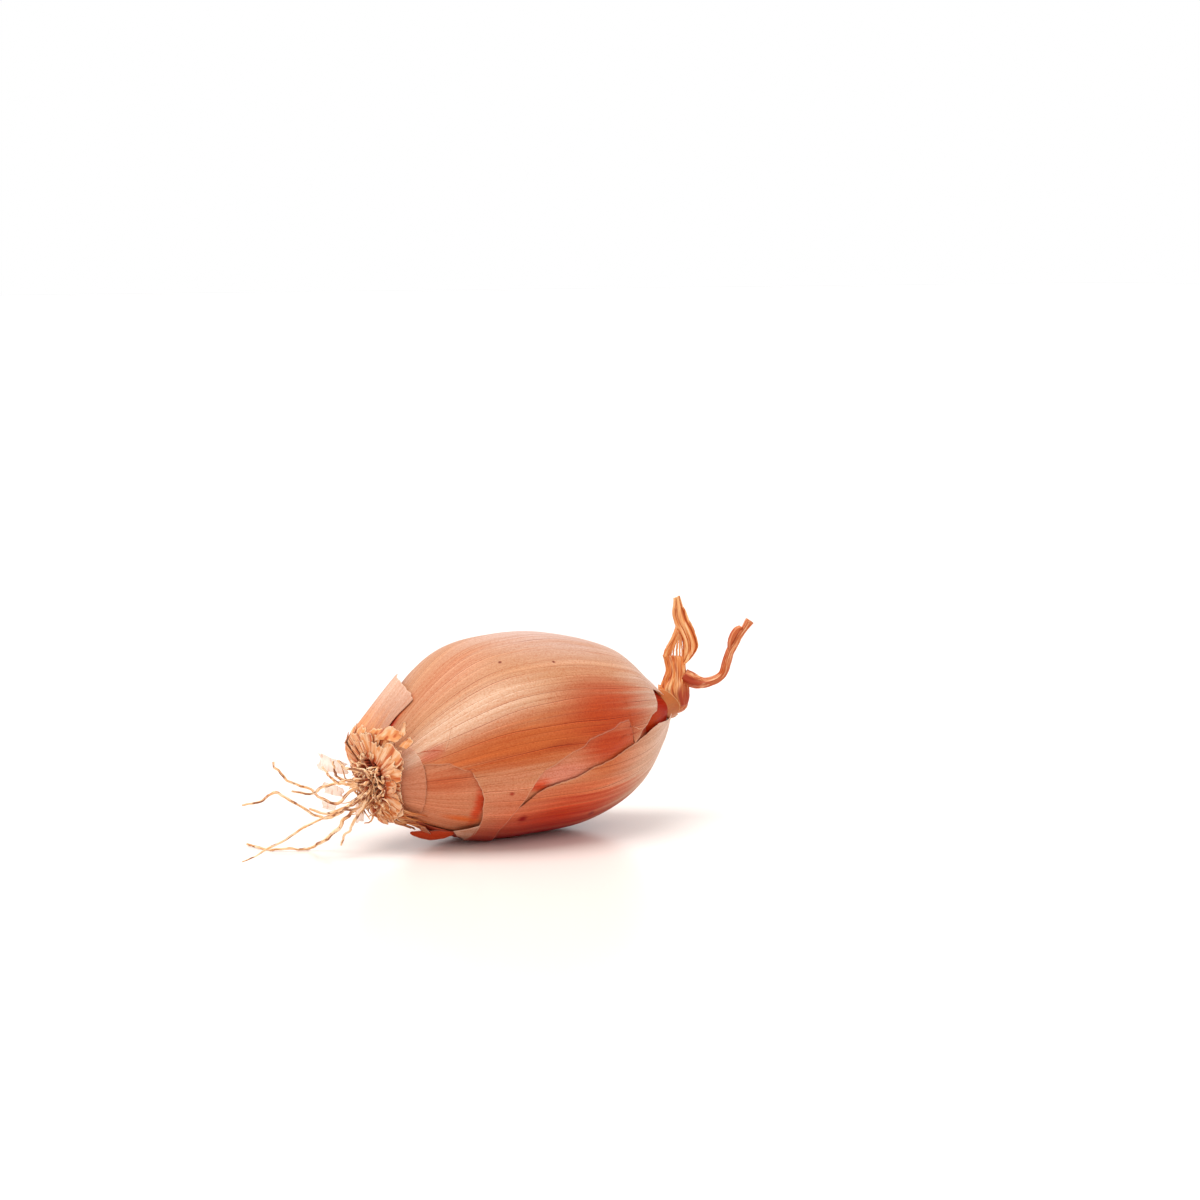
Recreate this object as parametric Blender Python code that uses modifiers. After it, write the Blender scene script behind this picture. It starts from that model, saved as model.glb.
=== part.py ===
"""A long shallot that lies on its side: bulb, dry skins, root plate with its roots, and dry leaf stems.

Metres, +Z up. +X runs from the root end to the neck. The origin is under the middle of the whole
object's box, on the surface that the shallot lies on.

Places on the bulb are given as a distance along its axis from the root plate, and an angle round
that axis: 0 degrees is the top, 90 the front (-Y), 180 the underside and 270 the back.
"""

import math

import bmesh
import bpy
import numpy as np
from mathutils import Vector

MM = 0.001

# The bulb, measured over its outer skin.
BULB_LENGTH = 75 * MM
BULB_TILT = math.radians(7.5)
CENTRELINE_BOW = 1.9 * MM
CENTRELINE_WAVE = 1.25 * MM
ROOT_CENTRE = Vector((-30.7, 0, 15.4)) * MM
PROFILE_MM = ((0, 6.6), (9, 14.8), (21, 21.1), (34, 22.5), (46.5, 21.7), (60, 17.2), (70, 9.6), (75, 4.2))

# Layers, counted inwards from the outer skin's face.
SKIN_THICKNESS = 0.25 * MM
GAP = 0.3 * MM
SECOND_SKIN_DEPTH = SKIN_THICKNESS + GAP
BULB_DEPTH = SECOND_SKIN_DEPTH + SKIN_THICKNESS + GAP
CUTTER_THICKNESS = 1.2 * MM

# The tear in the outer skin: (distance from the root plate in mm, angle in degrees) along each edge.
TEAR_UPPER_EDGE = (
    (23, 120), (25.5, 108), (28, 101), (33, 96), (39, 89), (46, 84), (52, 82),
    (56, 87), (60, 84), (64.5, 76), (66.5, 66), (68.5, 58), (74, 54),
)
TEAR_LOWER_EDGE = (
    (23, 127), (25, 120), (28, 113), (33, 110), (38, 106), (44, 101), (50, 97), (54, 95),
    (58, 92), (64, 90), (68, 93), (74, 98),
)
# The torn window near the root end: (angle, distance) along the edge away from the root plate.
WINDOW_EDGE = ((82, 8), (86, 11.2), (92, 12.4), (104, 13.8), (113, 14.6), (123, 14.8), (136, 15), (157, 12))
# The free edge of the flap that stands off above the root end: (angle, distance).
FLAP_EDGE = ((-55, 11), (-45, 13.2), (-36, 13.8), (-27, 12.5), (-4, 10.5), (5, 9.6))

PLATE_RADIUS = 5.6 * MM
ROOT_RADIUS = 0.3 * MM

# Routes of the long roots, in mm from the middle of the root plate, from the root mat to the tip.
LONG_ROOTS = {
    "root_rising": ((-6.3, 0.8, -2), (-9.5, 1.5, -4.3), (-14, 1.2, -2.9), (-17.2, 0.8, -0.6),
                    (-21.8, 0.4, 1.4), (-24.9, -0.2, 4.1), (-26.7, -0.9, 6.5)),
    "root_kinked": ((-6.4, -1.6, -3.4), (-10.5, -2.6, -5.6), (-14.7, -1.9, -6.5), (-17, -1, -5.6),
                    (-21.8, 0.4, -2.5), (-25.3, 1, -0.5), (-28.3, 0.7, -2), (-32.9, 1, -2.5)),
    "root_to_table_front": ((-5.2, -0.4, -5.2), (-9.1, 0.2, -5.9), (-14.2, 1, -7.4), (-19.6, 1.6, -9.7),
                            (-26.3, 2.1, -13.1), (-31.9, 2.8, -14.9)),
    "root_to_table_back": ((-4.6, 1.6, -5.6), (-7.2, 1.9, -7.6), (-8.5, 3.2, -10.2), (-10.6, 5.7, -13.1),
                           (-13.4, 7.8, -14.9), (-17.5, 9.4, -15.0), (-20.4, 12.2, -15), (-21.7, 19.4, -14.9)),
    "root_hanging": ((-5.6, -2.4, -4.9), (-8, -2, -8.4), (-9.1, -2.2, -10.3), (-10.6, -2, -11.7),
                     (-11.1, -2.6, -13)),
    "root_straight": ((-6.7, -0.6, 0.3), (-9.5, -2, 0.8), (-14.5, -2.2, 0), (-18.5, -2.3, -1), (-22.7, -2.2, -0.4)),
    "root_hooked_front": ((-6.4, -2.6, -0.6), (-11.2, -3.6, 0.6), (-13.6, -4.2, 1.3), (-16.4, -5.6, 4),
                          (-18, -6.6, 5.5)),
    "root_hooked_back": ((-6.4, 2.2, 0), (-9.8, 1.9, 1.4), (-10.4, 1.2, 2.9), (-11.1, 0.4, 4.8)),
    "root_looped": ((-5, -3.4, 2), (-6.6, -3.4, 2.9), (-8.6, -3, 3.1), (-10.7, -2.4, 3.8), (-11.6, -2.4, 5.4)),
    "root_short_brown": ((-6, -3.4, -2.6), (-10.4, -4.2, -4.2), (-15.4, -4.6, -5.6), (-19.7, -4.8, -4)),
}

# The neck and the dry leaf stems, in mm from the middle of the root plate.
NECK_MM = ((75.4, 0, 9.9), (76.2, -0.05, 9.95), (77.3, -0.7, 10.1), (78.3, -1, 11.1), (78.4, -0.9, 12.3))
NECK_RADII_MM = (3.7, 3.4, 3.3, 3, 2.6)
UPRIGHT_STEM_MM = ((78.6, -0.3, 13.9), (79, 0.3, 17.4), (79.4, 0.5, 20.2), (80.8, 0, 23.5),
                   (81.2, 0.2, 27.3), (80.6, 1.2, 30.2), (80.8, 1.4, 33.8))
UPRIGHT_STEM_WIDTHS_MM = (5.6, 4.6, 5.6, 6.8, 4, 3.2, 1.5)
SIDE_STEM_MM = ((81.3, -2.6, 15.2), (84.2, -4.6, 15.3), (87, -5.8, 16.6), (88.2, -6.2, 18.6),
                (89.4, -6.5, 21.8), (90.3, -6.8, 24.3), (91.5, -7.4, 25.8), (93.3, -8.4, 28.4))
SIDE_STEM_RADII_MM = (1.9, 1.7, 1.4, 1.2, 1.3, 1.3, 1.0, 1.1)

AXIS = Vector((math.cos(BULB_TILT), 0, math.sin(BULB_TILT)))
UP = Vector((-math.sin(BULB_TILT), 0, math.cos(BULB_TILT)))
FRONT = Vector((0, -1, 0))


def clear_scene():
    for obj in list(bpy.data.objects):
        bpy.data.objects.remove(obj)


def new_collection(name):
    collection = bpy.data.collections.new(name)
    bpy.context.scene.collection.children.link(collection)
    return collection


def principled(name, colour, roughness):
    material = bpy.data.materials.new(name)
    material.use_nodes = True
    shader = material.node_tree.nodes["Principled BSDF"]
    shader.inputs["Base Color"].default_value = (*colour, 1)
    shader.inputs["Roughness"].default_value = roughness
    shader.inputs["Metallic"].default_value = 0
    return material


def add_object(name, data, collection, material=None):
    obj = bpy.data.objects.new(name, data)
    collection.objects.link(obj)
    if material:
        data.materials.append(material)
    return obj


def along(points, distance):
    """The value at a distance along (distance, value) points, on straight runs between them."""
    xs, ys = zip(*points)
    return float(np.interp(distance, xs, ys))


def smooth_through(points, position):
    """A smooth curve through evenly numbered points (vectors or numbers), read at 0 to len(points) - 1."""
    last = len(points) - 1
    i = min(int(position), last - 1)
    t = position - i
    p0, p1, p2, p3 = (points[max(0, min(last, i + k))] for k in (-1, 0, 1, 2))
    pull_in, pull_out = (p2 - p0) * 0.5, (p3 - p1) * 0.5
    t2, t3 = t * t, t * t * t
    return p1 * (2 * t3 - 3 * t2 + 1) + pull_in * (t3 - 2 * t2 + t) + p2 * (3 * t2 - 2 * t3) + pull_out * (t3 - t2)


def bulb_radius(distance):
    """Outer radius at a distance from the root plate, on a smooth curve through the profile."""
    stations = [s * MM for s, _ in PROFILE_MM]
    radii = [r * MM for _, r in PROFILE_MM]
    slopes = np.gradient(radii, stations)
    i = int(np.clip(np.searchsorted(stations, distance) - 1, 0, len(stations) - 2))
    run = stations[i + 1] - stations[i]
    t = min(max((distance - stations[i]) / run, 0), 1)
    rise = radii[i] * (1 + 2 * t) * (1 - t) ** 2 + radii[i + 1] * t * t * (3 - 2 * t)
    return float(rise + run * (slopes[i] * t * (1 - t) ** 2 - slopes[i + 1] * t * t * (1 - t)))


def centre_at(distance):
    turn = math.pi * distance / BULB_LENGTH
    bow = CENTRELINE_BOW * math.sin(turn) + CENTRELINE_WAVE * math.sin(2 * turn)
    return ROOT_CENTRE + AXIS * distance + UP * bow


def round_axis(distance, angle, radius):
    """The point at a radius from the bulb's bent axis."""
    turn = math.radians(angle)
    return centre_at(distance) + (UP * math.cos(turn) + FRONT * math.sin(turn)) * radius


def on_skin(distance, angle, lift=0.0):
    return round_axis(distance, angle, bulb_radius(distance) + lift)


def turned_mesh(name, profile, steps):
    """Turns (radius, distance) points, listed from the neck to the root end, and bends them onto the axis."""
    mesh = bpy.data.meshes.new(name)
    edges = [(i, i + 1) for i in range(len(profile) - 1)]
    mesh.from_pydata([(r, 0, s) for r, s in profile], edges, [])
    obj = bpy.data.objects.new(name + "_profile", mesh)
    bpy.context.scene.collection.objects.link(obj)
    screw = obj.modifiers.new("Turn", "SCREW")
    screw.steps = screw.render_steps = steps
    screw.use_merge_vertices = True
    screw.merge_threshold = 0.00001
    evaluated = obj.evaluated_get(bpy.context.evaluated_depsgraph_get())
    turned = bpy.data.meshes.new_from_object(evaluated)
    turned.name = name
    bpy.data.objects.remove(obj)
    for vertex in turned.vertices:
        x, y, distance = vertex.co
        vertex.co = centre_at(distance) + UP * x + FRONT * y
    return turned


def press_flat(mesh, height):
    """The weight of the bulb presses its underside flat at a height."""
    for vertex in mesh.vertices:
        vertex.co.z = max(vertex.co.z, height)


def cut_flat(mesh, height):
    """Cuts the underside off at a height, which leaves one flat face."""
    bm = bmesh.new()
    bm.from_mesh(mesh)
    everything = bm.verts[:] + bm.edges[:] + bm.faces[:]
    cut = bmesh.ops.bisect_plane(
        bm, geom=everything, plane_co=(0, 0, height), plane_no=(0, 0, -1), clear_outer=True
    )
    rim = [e for e in cut["geom_cut"] if isinstance(e, bmesh.types.BMEdge)]
    bmesh.ops.contextual_create(bm, geom=rim)
    bmesh.ops.recalc_face_normals(bm, faces=bm.faces[:])
    bm.to_mesh(mesh)
    bm.free()


def sheet_mesh(name, place, across, along_count):
    """An open sheet: place(u, v) gives the point for u and v from 0 to 1."""
    bm = bmesh.new()
    bmesh.ops.create_grid(bm, x_segments=across, y_segments=along_count, size=0.5)
    for vertex in bm.verts:
        vertex.co = place(vertex.co.x + 0.5, vertex.co.y + 0.5)
    mesh = bpy.data.meshes.new(name)
    bm.to_mesh(mesh)
    bm.free()
    return mesh


def thicken(obj, thickness, offset=-1):
    solidify = obj.modifiers.new("Thickness", "SOLIDIFY")
    solidify.thickness = thickness
    solidify.offset = offset
    return solidify


def cut_with(obj, cutter):
    boolean = obj.modifiers.new("Cut by " + cutter.name, "BOOLEAN")
    boolean.operation = "DIFFERENCE"
    boolean.object = cutter
    cutter.hide_render = True
    cutter.display_type = "WIRE"


def smooth(mesh, angle=40):
    mesh.shade_smooth()
    mesh.set_sharp_from_angle(angle=math.radians(angle))


def mix(a, b, t):
    return a + (b - a) * t


def bulb(parts):
    """The fleshy bulb in its closed inner skin, pressed flat where it lies."""
    stations = np.linspace(BULB_LENGTH, 0, 20)
    profile = [(max(bulb_radius(s) - BULB_DEPTH, 0), s) for s in stations]
    mesh = turned_mesh("bulb", [(0, BULB_LENGTH), *profile, (0, 0)], 36)
    cut_flat(mesh, BULB_DEPTH)
    smooth(mesh)
    add_object("bulb", mesh, parts, principled("inner_skin_orange_red", (0.48, 0.09, 0.03), 0.4))


def tear_cutter(cutters):
    """The long tear, from the tongue near the root end to the wedge at the neck."""
    first, last = TEAR_UPPER_EDGE[0][0], TEAR_UPPER_EDGE[-1][0]

    def place(u, v):
        distance = mix(first, last, v)
        angle = mix(along(TEAR_UPPER_EDGE, distance), along(TEAR_LOWER_EDGE, distance), u)
        return on_skin(distance * MM, angle, -SKIN_THICKNESS / 2)

    cutter = add_object("tear_cutter", sheet_mesh("tear_cutter", place, 4, 28), cutters)
    thicken(cutter, CUTTER_THICKNESS, 0)
    return cutter


def window_cutter(cutters):
    """The window that is torn out of the outer skin beside the root end."""
    beyond_root = -4
    first, last = WINDOW_EDGE[0][0], WINDOW_EDGE[-1][0]

    def place(u, v):
        angle = mix(first, last, u)
        distance = mix(beyond_root, along(WINDOW_EDGE, angle), v)
        return on_skin(distance * MM, angle, -SKIN_THICKNESS / 2)

    cutter = add_object("window_cutter", sheet_mesh("window_cutter", place, 12, 8), cutters)
    thicken(cutter, CUTTER_THICKNESS, 0)
    return cutter


def outer_skin(parts, cutters):
    """The outermost dry skin: a torn sleeve whose underside is what the shallot lies on."""
    first, last = 0.8 * MM, 73 * MM
    profile = [(bulb_radius(s), s) for s in np.linspace(last, first, 19)]
    mesh = turned_mesh("outer_skin", profile, 40)
    press_flat(mesh, 0)
    smooth(mesh)
    skin = add_object("outer_skin", mesh, parts, principled("dry_skin_copper", (0.78, 0.36, 0.17), 0.42))
    thicken(skin, SKIN_THICKNESS)
    cut_with(skin, tear_cutter(cutters))
    cut_with(skin, window_cutter(cutters))


def second_skin(parts):
    """The next dry skin, which the tear and the window show."""
    first, last, upper, lower = 1.5, 57, 66, 160

    def place(u, v):
        return on_skin(mix(first, last, v) * MM, mix(upper, lower, u), -SECOND_SKIN_DEPTH)

    mesh = sheet_mesh("second_skin", place, 12, 16)
    smooth(mesh)
    skin = add_object("second_skin", mesh, parts, principled("dry_skin_rose", (0.66, 0.25, 0.13), 0.45))
    thicken(skin, SKIN_THICKNESS)


def skin_remnant(parts):
    """The thin scrap of outer skin left beside the root end, with a round free edge."""
    upper, lower, root_side, reach = 87, 152, 1.0, 4.0

    def place(u, v):
        edge = root_side + reach * (0.75 + 0.25 * math.sin(math.pi * u))
        return on_skin(mix(root_side, edge, v) * MM, mix(upper, lower, u))

    mesh = sheet_mesh("skin_remnant", place, 9, 4)
    smooth(mesh)
    scrap = add_object("skin_remnant", mesh, parts, principled("clear_dry_skin", (0.72, 0.4, 0.24), 0.5))
    thicken(scrap, SKIN_THICKNESS)


def lifted_flap(parts):
    """A straight flap of skin that bridges from the top of the bulb to the frill."""
    root_side, root_radius, top_lift = -2.5, 11.0, 0.65
    top = 13.8
    top_radius = bulb_radius(top * MM) / MM + top_lift

    def place(u, v):
        angle = mix(FLAP_EDGE[0][0], FLAP_EDGE[-1][0], u)
        distance = mix(root_side, along(FLAP_EDGE, angle), v)
        straight = mix(root_radius, top_radius, (distance - root_side) / (top - root_side))
        return round_axis(distance * MM, angle, straight * MM)

    mesh = sheet_mesh("lifted_skin_flap", place, 9, 8)
    smooth(mesh)
    flap = add_object("lifted_skin_flap", mesh, parts, principled("dry_skin_peach", (0.84, 0.47, 0.28), 0.45))
    thicken(flap, SKIN_THICKNESS)


def root_frill(parts):
    """The ragged collar of skin ends round the root plate."""
    inner, outer, root_side, reach = 6.3, 10.4, -1.1, 2.6
    segments = 48

    def place(angle, v):
        ragged = 0.7 * math.sin(math.radians(angle * 7)) + 0.4 * math.sin(math.radians(angle * 17 + 40))
        underside = 1.6 * max(0, -math.cos(math.radians(angle)))
        radius = mix(inner, outer - underside + ragged, v)
        return round_axis((root_side + reach * v) * MM, angle, radius * MM)

    bm = bmesh.new()
    bmesh.ops.create_circle(bm, segments=segments, radius=1)
    for vertex in bm.verts:
        angle = math.degrees(math.atan2(vertex.co.y, vertex.co.x))
        vertex.co = place(angle, 0)
    rims = [(bm.verts[:], bm.edges[:])]
    for step in (1, 2, 3):
        grown = bmesh.ops.extrude_edge_only(bm, edges=rims[-1][1])["geom"]
        verts = [g for g in grown if isinstance(g, bmesh.types.BMVert)]
        edges = [g for g in grown if isinstance(g, bmesh.types.BMEdge) and all(v in verts for v in g.verts)]
        rims.append((verts, edges))
        for vertex in verts:
            offset = vertex.co - ROOT_CENTRE
            angle = math.degrees(math.atan2(offset.dot(FRONT), offset.dot(UP)))
            vertex.co = place(angle, step / 3)
    bmesh.ops.recalc_face_normals(bm, faces=bm.faces[:])
    mesh = bpy.data.meshes.new("root_frill")
    bm.to_mesh(mesh)
    bm.free()
    smooth(mesh)
    frill = add_object("root_frill", mesh, parts, principled("frill_cream", (0.82, 0.52, 0.31), 0.6))
    thicken(frill, 0.4 * MM, 0)


def basal_plate(parts):
    """The corky root plate on the bulb's end."""
    near, far = -0.35 * MM, -1.7 * MM
    profile = [(0, near), (PLATE_RADIUS, near), (PLATE_RADIUS * 0.85, far), (0, far)]
    mesh = turned_mesh("basal_plate", profile, 28)
    smooth(mesh)
    add_object("basal_plate", mesh, parts, principled("plate_brown", (0.3, 0.16, 0.07), 0.8))


def root_mat(parts):
    """The mat of short curly roots, as one low dome on the plate."""
    near, height, radius = -2.1 * MM, 3.0 * MM, 5.0 * MM
    turns = np.linspace(0, math.pi / 2, 6)
    dome = [(radius * math.cos(t), near - height * math.sin(t)) for t in turns[:-1]]
    mesh = turned_mesh("root_mat", [(0, near), *dome, (0, near - height)], 24)
    smooth(mesh)
    add_object("root_mat", mesh, parts, principled("root_straw", (0.55, 0.36, 0.17), 0.8))


def bevelled_curve(name, points, radii, bevel, collection, material):
    """A round strand along points, with a radius factor at each."""
    curve = bpy.data.curves.new(name, "CURVE")
    curve.dimensions = "3D"
    curve.bevel_depth = bevel
    curve.bevel_resolution = 2
    curve.use_fill_caps = True
    spline = curve.splines.new("POLY")
    spline.points.add(len(points) - 1)
    for slot, point, factor in zip(spline.points, points, radii):
        slot.co = (*point, 1)
        slot.radius = factor
    return add_object(name, curve, collection, material)


def long_roots(parts):
    """The long dry roots, each on a smooth curve that tapers to its tip."""
    material = principled("root_straw_long", (0.62, 0.42, 0.2), 0.7)
    for name, route in LONG_ROOTS.items():
        stops = [ROOT_CENTRE + Vector(point) * MM for point in route]
        count = 2 * (len(stops) - 1) + 1
        positions = np.linspace(0, len(stops) - 1, count)
        points = [smooth_through(stops, position) for position in positions]
        taper = np.linspace(1.1, 0.7, count)
        bevelled_curve(name, points, taper, ROOT_RADIUS, parts, material)


def neck(parts):
    """The dry neck, which bends up and to the front where the leaf stems grow from it."""
    points = [ROOT_CENTRE + Vector(point) * MM for point in NECK_MM]
    bevelled_curve("neck", points, NECK_RADII_MM, 1 * MM, parts, principled("neck_rust", (0.55, 0.2, 0.06), 0.6))


def neck_collar(parts):
    """A rounded tan scrap of skin that lies against the front of the neck."""
    upper, lower, first, reach, radius = 35, 125, 73.6, 5.2, 4.9

    def place(u, v):
        edge = reach * (0.55 + 0.45 * math.sin(math.pi * u))
        return round_axis((first + edge * v) * MM, mix(upper, lower, u), (radius - 0.6 * v) * MM)

    mesh = sheet_mesh("neck_collar", place, 8, 5)
    smooth(mesh)
    collar = add_object("neck_collar", mesh, parts, principled("collar_tan", (0.6, 0.33, 0.13), 0.55))
    thicken(collar, SKIN_THICKNESS)


def upright_stem(parts):
    """The broad dry leaf stem: a folded ribbon that stands up from the neck."""
    stops = [ROOT_CENTRE + Vector(point) * MM for point in UPRIGHT_STEM_MM]
    sideways = Vector((0.82, -0.57, 0))
    towards = Vector((-0.57, -0.82, 0))
    fold = 0.16

    def place(u, v):
        position = v * (len(stops) - 1)
        width = smooth_through(UPRIGHT_STEM_WIDTHS_MM, position) * MM
        side = u - 0.5
        folded = sideways * side + towards * (fold * math.cos(math.pi * side))
        return smooth_through(stops, position) + folded * width

    mesh = sheet_mesh("leaf_stem_upright", place, 4, 14)
    smooth(mesh)
    stem = add_object("leaf_stem_upright", mesh, parts, principled("stem_amber", (0.72, 0.34, 0.09), 0.6))
    thicken(stem, 1.0 * MM, 0)


def side_stem(parts):
    """The slender dry leaf stem that curves out to the side."""
    stops = [ROOT_CENTRE + Vector(point) * MM for point in SIDE_STEM_MM]
    positions = np.linspace(0, len(stops) - 1, 22)
    points = [smooth_through(stops, position) for position in positions]
    factors = [smooth_through(SIDE_STEM_RADII_MM, position) for position in positions]
    material = principled("stem_rust", (0.62, 0.24, 0.07), 0.6)
    bevelled_curve("leaf_stem_side", points, factors, 1 * MM, parts, material)


def underside_scrap(parts):
    """The dark crescent of loose skin that hangs under the root end."""
    middle = ROOT_CENTRE + Vector((10.6, -3.2, -13.4)) * MM
    length, width, rise = 8.7 * MM, 1.5 * MM, 0.5 * MM
    forward = Vector((0.82, -0.57, 0))
    upward = Vector((-0.2, -0.3, 0.93))

    def place(u, v):
        bend = math.sin(math.pi * v)
        across = (u - 0.5) * width * (0.3 + 0.7 * bend)
        return middle + forward * ((v - 0.5) * length) + upward * (across + rise * (1 - bend))

    mesh = sheet_mesh("underside_scrap", place, 3, 8)
    smooth(mesh)
    scrap = add_object("underside_scrap", mesh, parts, principled("scrap_dark_red", (0.42, 0.08, 0.03), 0.4))
    thicken(scrap, SKIN_THICKNESS)


def centre_on_box(parts):
    """Moves every piece so that the origin is under the middle of the whole box."""
    graph = bpy.context.evaluated_depsgraph_get()
    corners = []
    for obj in parts.objects:
        mesh = obj.evaluated_get(graph).to_mesh()
        corners += [vertex.co.copy() for vertex in mesh.vertices]
    places = np.array(corners)
    low, high = places.min(axis=0), places.max(axis=0)
    shift = Vector((-(low[0] + high[0]) / 2, -(low[1] + high[1]) / 2, -low[2]))
    for obj in bpy.data.objects:
        obj.location += shift


def main():
    clear_scene()
    parts = new_collection("shallot")
    cutters = new_collection("shallot_cutters")
    bulb(parts)
    outer_skin(parts, cutters)
    second_skin(parts)
    skin_remnant(parts)
    lifted_flap(parts)
    root_frill(parts)
    basal_plate(parts)
    root_mat(parts)
    long_roots(parts)
    neck(parts)
    neck_collar(parts)
    upright_stem(parts)
    side_stem(parts)
    underside_scrap(parts)
    centre_on_box(parts)


main()
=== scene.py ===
"""The looks of a long shallot that lies on its side: bulb, torn dry skins, root end and dried leaf stems.

Metres, +Z up. +X runs from the root end to the neck, and -Y is the side with the torn skin.

Places on the bulb are given as a distance along its axis from the root plate, and an angle round
that axis: 0 degrees is the top, 90 the front (-Y), 180 the underside and 270 the back.
"""

import math
import random

import bmesh
import bpy
from bpy.props import FloatProperty, FloatVectorProperty, IntProperty, PointerProperty
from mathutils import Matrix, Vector, noise


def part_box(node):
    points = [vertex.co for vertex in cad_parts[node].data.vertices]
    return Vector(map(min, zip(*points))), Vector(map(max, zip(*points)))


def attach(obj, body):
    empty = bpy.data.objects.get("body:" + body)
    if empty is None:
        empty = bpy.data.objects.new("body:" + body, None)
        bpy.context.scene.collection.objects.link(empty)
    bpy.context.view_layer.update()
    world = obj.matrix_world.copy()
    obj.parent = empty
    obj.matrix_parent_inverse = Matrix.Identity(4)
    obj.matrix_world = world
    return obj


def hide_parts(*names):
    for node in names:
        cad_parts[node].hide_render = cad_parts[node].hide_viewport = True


bl_info = {
    "name": "Long Shallot",
    "version": (1, 0, 0),
    "blender": (4, 5, 0),
    "location": "3D View > Sidebar > Shallot",
    "description": "Builds a long shallot with torn dry skins, a root plate with roots, and dried leaf stems",
    "category": "Add Mesh",
}

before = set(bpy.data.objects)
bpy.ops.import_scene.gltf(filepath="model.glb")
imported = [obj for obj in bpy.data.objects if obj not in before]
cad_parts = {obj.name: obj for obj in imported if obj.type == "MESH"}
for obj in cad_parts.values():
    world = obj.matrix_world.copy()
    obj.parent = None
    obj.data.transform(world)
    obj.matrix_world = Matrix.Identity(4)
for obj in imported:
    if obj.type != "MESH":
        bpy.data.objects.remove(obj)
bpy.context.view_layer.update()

MM = 0.001
BODY = "root"

# The bulb's form, the same as the solid's.
BULB_LENGTH = 75 * MM
BULB_TILT = math.radians(7.5)
CENTRELINE_BOW = 1.9 * MM
CENTRELINE_WAVE = 1.25 * MM
PROFILE_MM = ((0, 6.6), (9, 14.8), (21, 21.1), (34, 22.5), (46.5, 21.7), (60, 17.2), (70, 9.6), (75, 4.2))
AXIS = Vector((math.cos(BULB_TILT), 0, math.sin(BULB_TILT)))
UP = Vector((-math.sin(BULB_TILT), 0, math.cos(BULB_TILT)))
FRONT = Vector((0, -1, 0))

# The middle of the root plate's face on the bulb: the plate's own middle is this far out from it.
PLATE_MIDDLE = 1.0 * MM
ROOT_CENTRE = (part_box("basal_plate")[0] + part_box("basal_plate")[1]) / 2 + AXIS * PLATE_MIDDLE

# Seen from the front and a little from the root end, these point sideways and towards the eye.
SIDEWAYS = Vector((0.82, -0.57, 0))
TOWARDS = Vector((-0.57, -0.82, 0))

# Radius of the round that the grain of every bulb skin is laid out on.
GRAIN_RADIUS = 22 * MM

# The upper outer skin's lower edge: (distance in mm, angle). The tongue hangs from it between its two
# roots, and beyond the crack's end it meets the lower skin's edge, until the notch at the neck opens.
TONGUE_START, TONGUE_END = 12.4, 28
CRACK_END = 52.5
SKIN_END = 73
UPPER_EDGE = (
    (0.8, 72), (4.6, 77), (6.8, 81), (8.8, 83), (10.2, 88.5), (11.4, 92), (TONGUE_START, 92),
    (TONGUE_END, 101), (30.4, 99), (34.3, 94.5), (38.5, 91), (39.8, 88), (43, 86), (46.6, 84), (49.3, 81),
    (CRACK_END, 80), (53.1, 95.3), (55, 92), (56.2, 88), (58.1, 86), (60.6, 80.5), (63.5, 78), (64.9, 72),
    (65.6, 64), (65.9, 56), (SKIN_END, 53),
)
UPPER_EDGE_LIFT_MM = (
    (0.8, 0.1), (10.7, 0.15), (TONGUE_START, 0), (TONGUE_END, 0), (31, 0.1), (45, 0.03), (53, 0), (57, 0.2),
    (SKIN_END, 0.3),
)
# The lower outer skin's upper edge.
LOWER_EDGE = (
    (0.8, 157), (12, 158), (15, 150), (18, 140), (21, 130.5), (22.5, 124), (24.5, 119), (26.6, 114),
    (28.9, 111.5), (33.3, 110), (36.5, 108), (38.2, 106), (41, 103.3), (45.8, 101), (50.1, 97), (53.1, 95.3),
    (55.8, 93.3), (58.7, 90.5), (63.3, 88.5), (66.5, 91), (70.4, 96), (SKIN_END, 97),
)
LOWER_EDGE_LIFT_MM = ((0.8, 0.1), (20, 0.1), (28, 0.2), (50, 0.12), (53, 0.08), (60, 0.3), (SKIN_END, 0.5))
# The tongue of torn skin, down its root side and down its neck side, evenly numbered.
TONGUE_ROOT_SIDE = (
    (TONGUE_START, 92), (13.3, 100), (14.3, 110), (14.9, 121), (15.3, 132), (15.4, 146), (16.0, 166),
)
TONGUE_NECK_SIDE = (
    (TONGUE_END, 101), (26.2, 105.5), (24.4, 112), (22.8, 122), (21.3, 131), (20.6, 146), (22.2, 166),
)
# Hairlines in the skins: pale ones are edges of clear film, red ones are dried splits.
PALE_HAIRLINES = (
    ((11.3, 55.5), (10.0, 63.2), (8.7, 71.7)),
    ((53.1, 84), (55.2, 87), (56.1, 87)),
)
RED_HAIRLINES = (
    ((4.3, 62), (6.2, 66), (8.6, 72)),
    ((11.4, 91.5), (12.5, 91.5), (13.4, 93)),
    ((48.1, 91), (50.0, 89), (53.1, 89), (56.1, 87)),
)
# The clear film's edge, and the lifted flap's free edge from the back round to its front corner:
# (angle, distance in mm).
FILM_EDGE = ((50, 3.6), (54, 4.0), (67, 4.4), (77, 4.6), (89, 4.7), (126, 4.7), (148, 4.7), (156, 3.9))
FLAP_EDGE = (
    (-70, 8), (-55, 11), (-45, 12.8), (-33, 13.0), (-27, 12.5), (-21, 11.0), (-9, 9.8), (6, 9.2), (12, 8.6),
)
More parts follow.
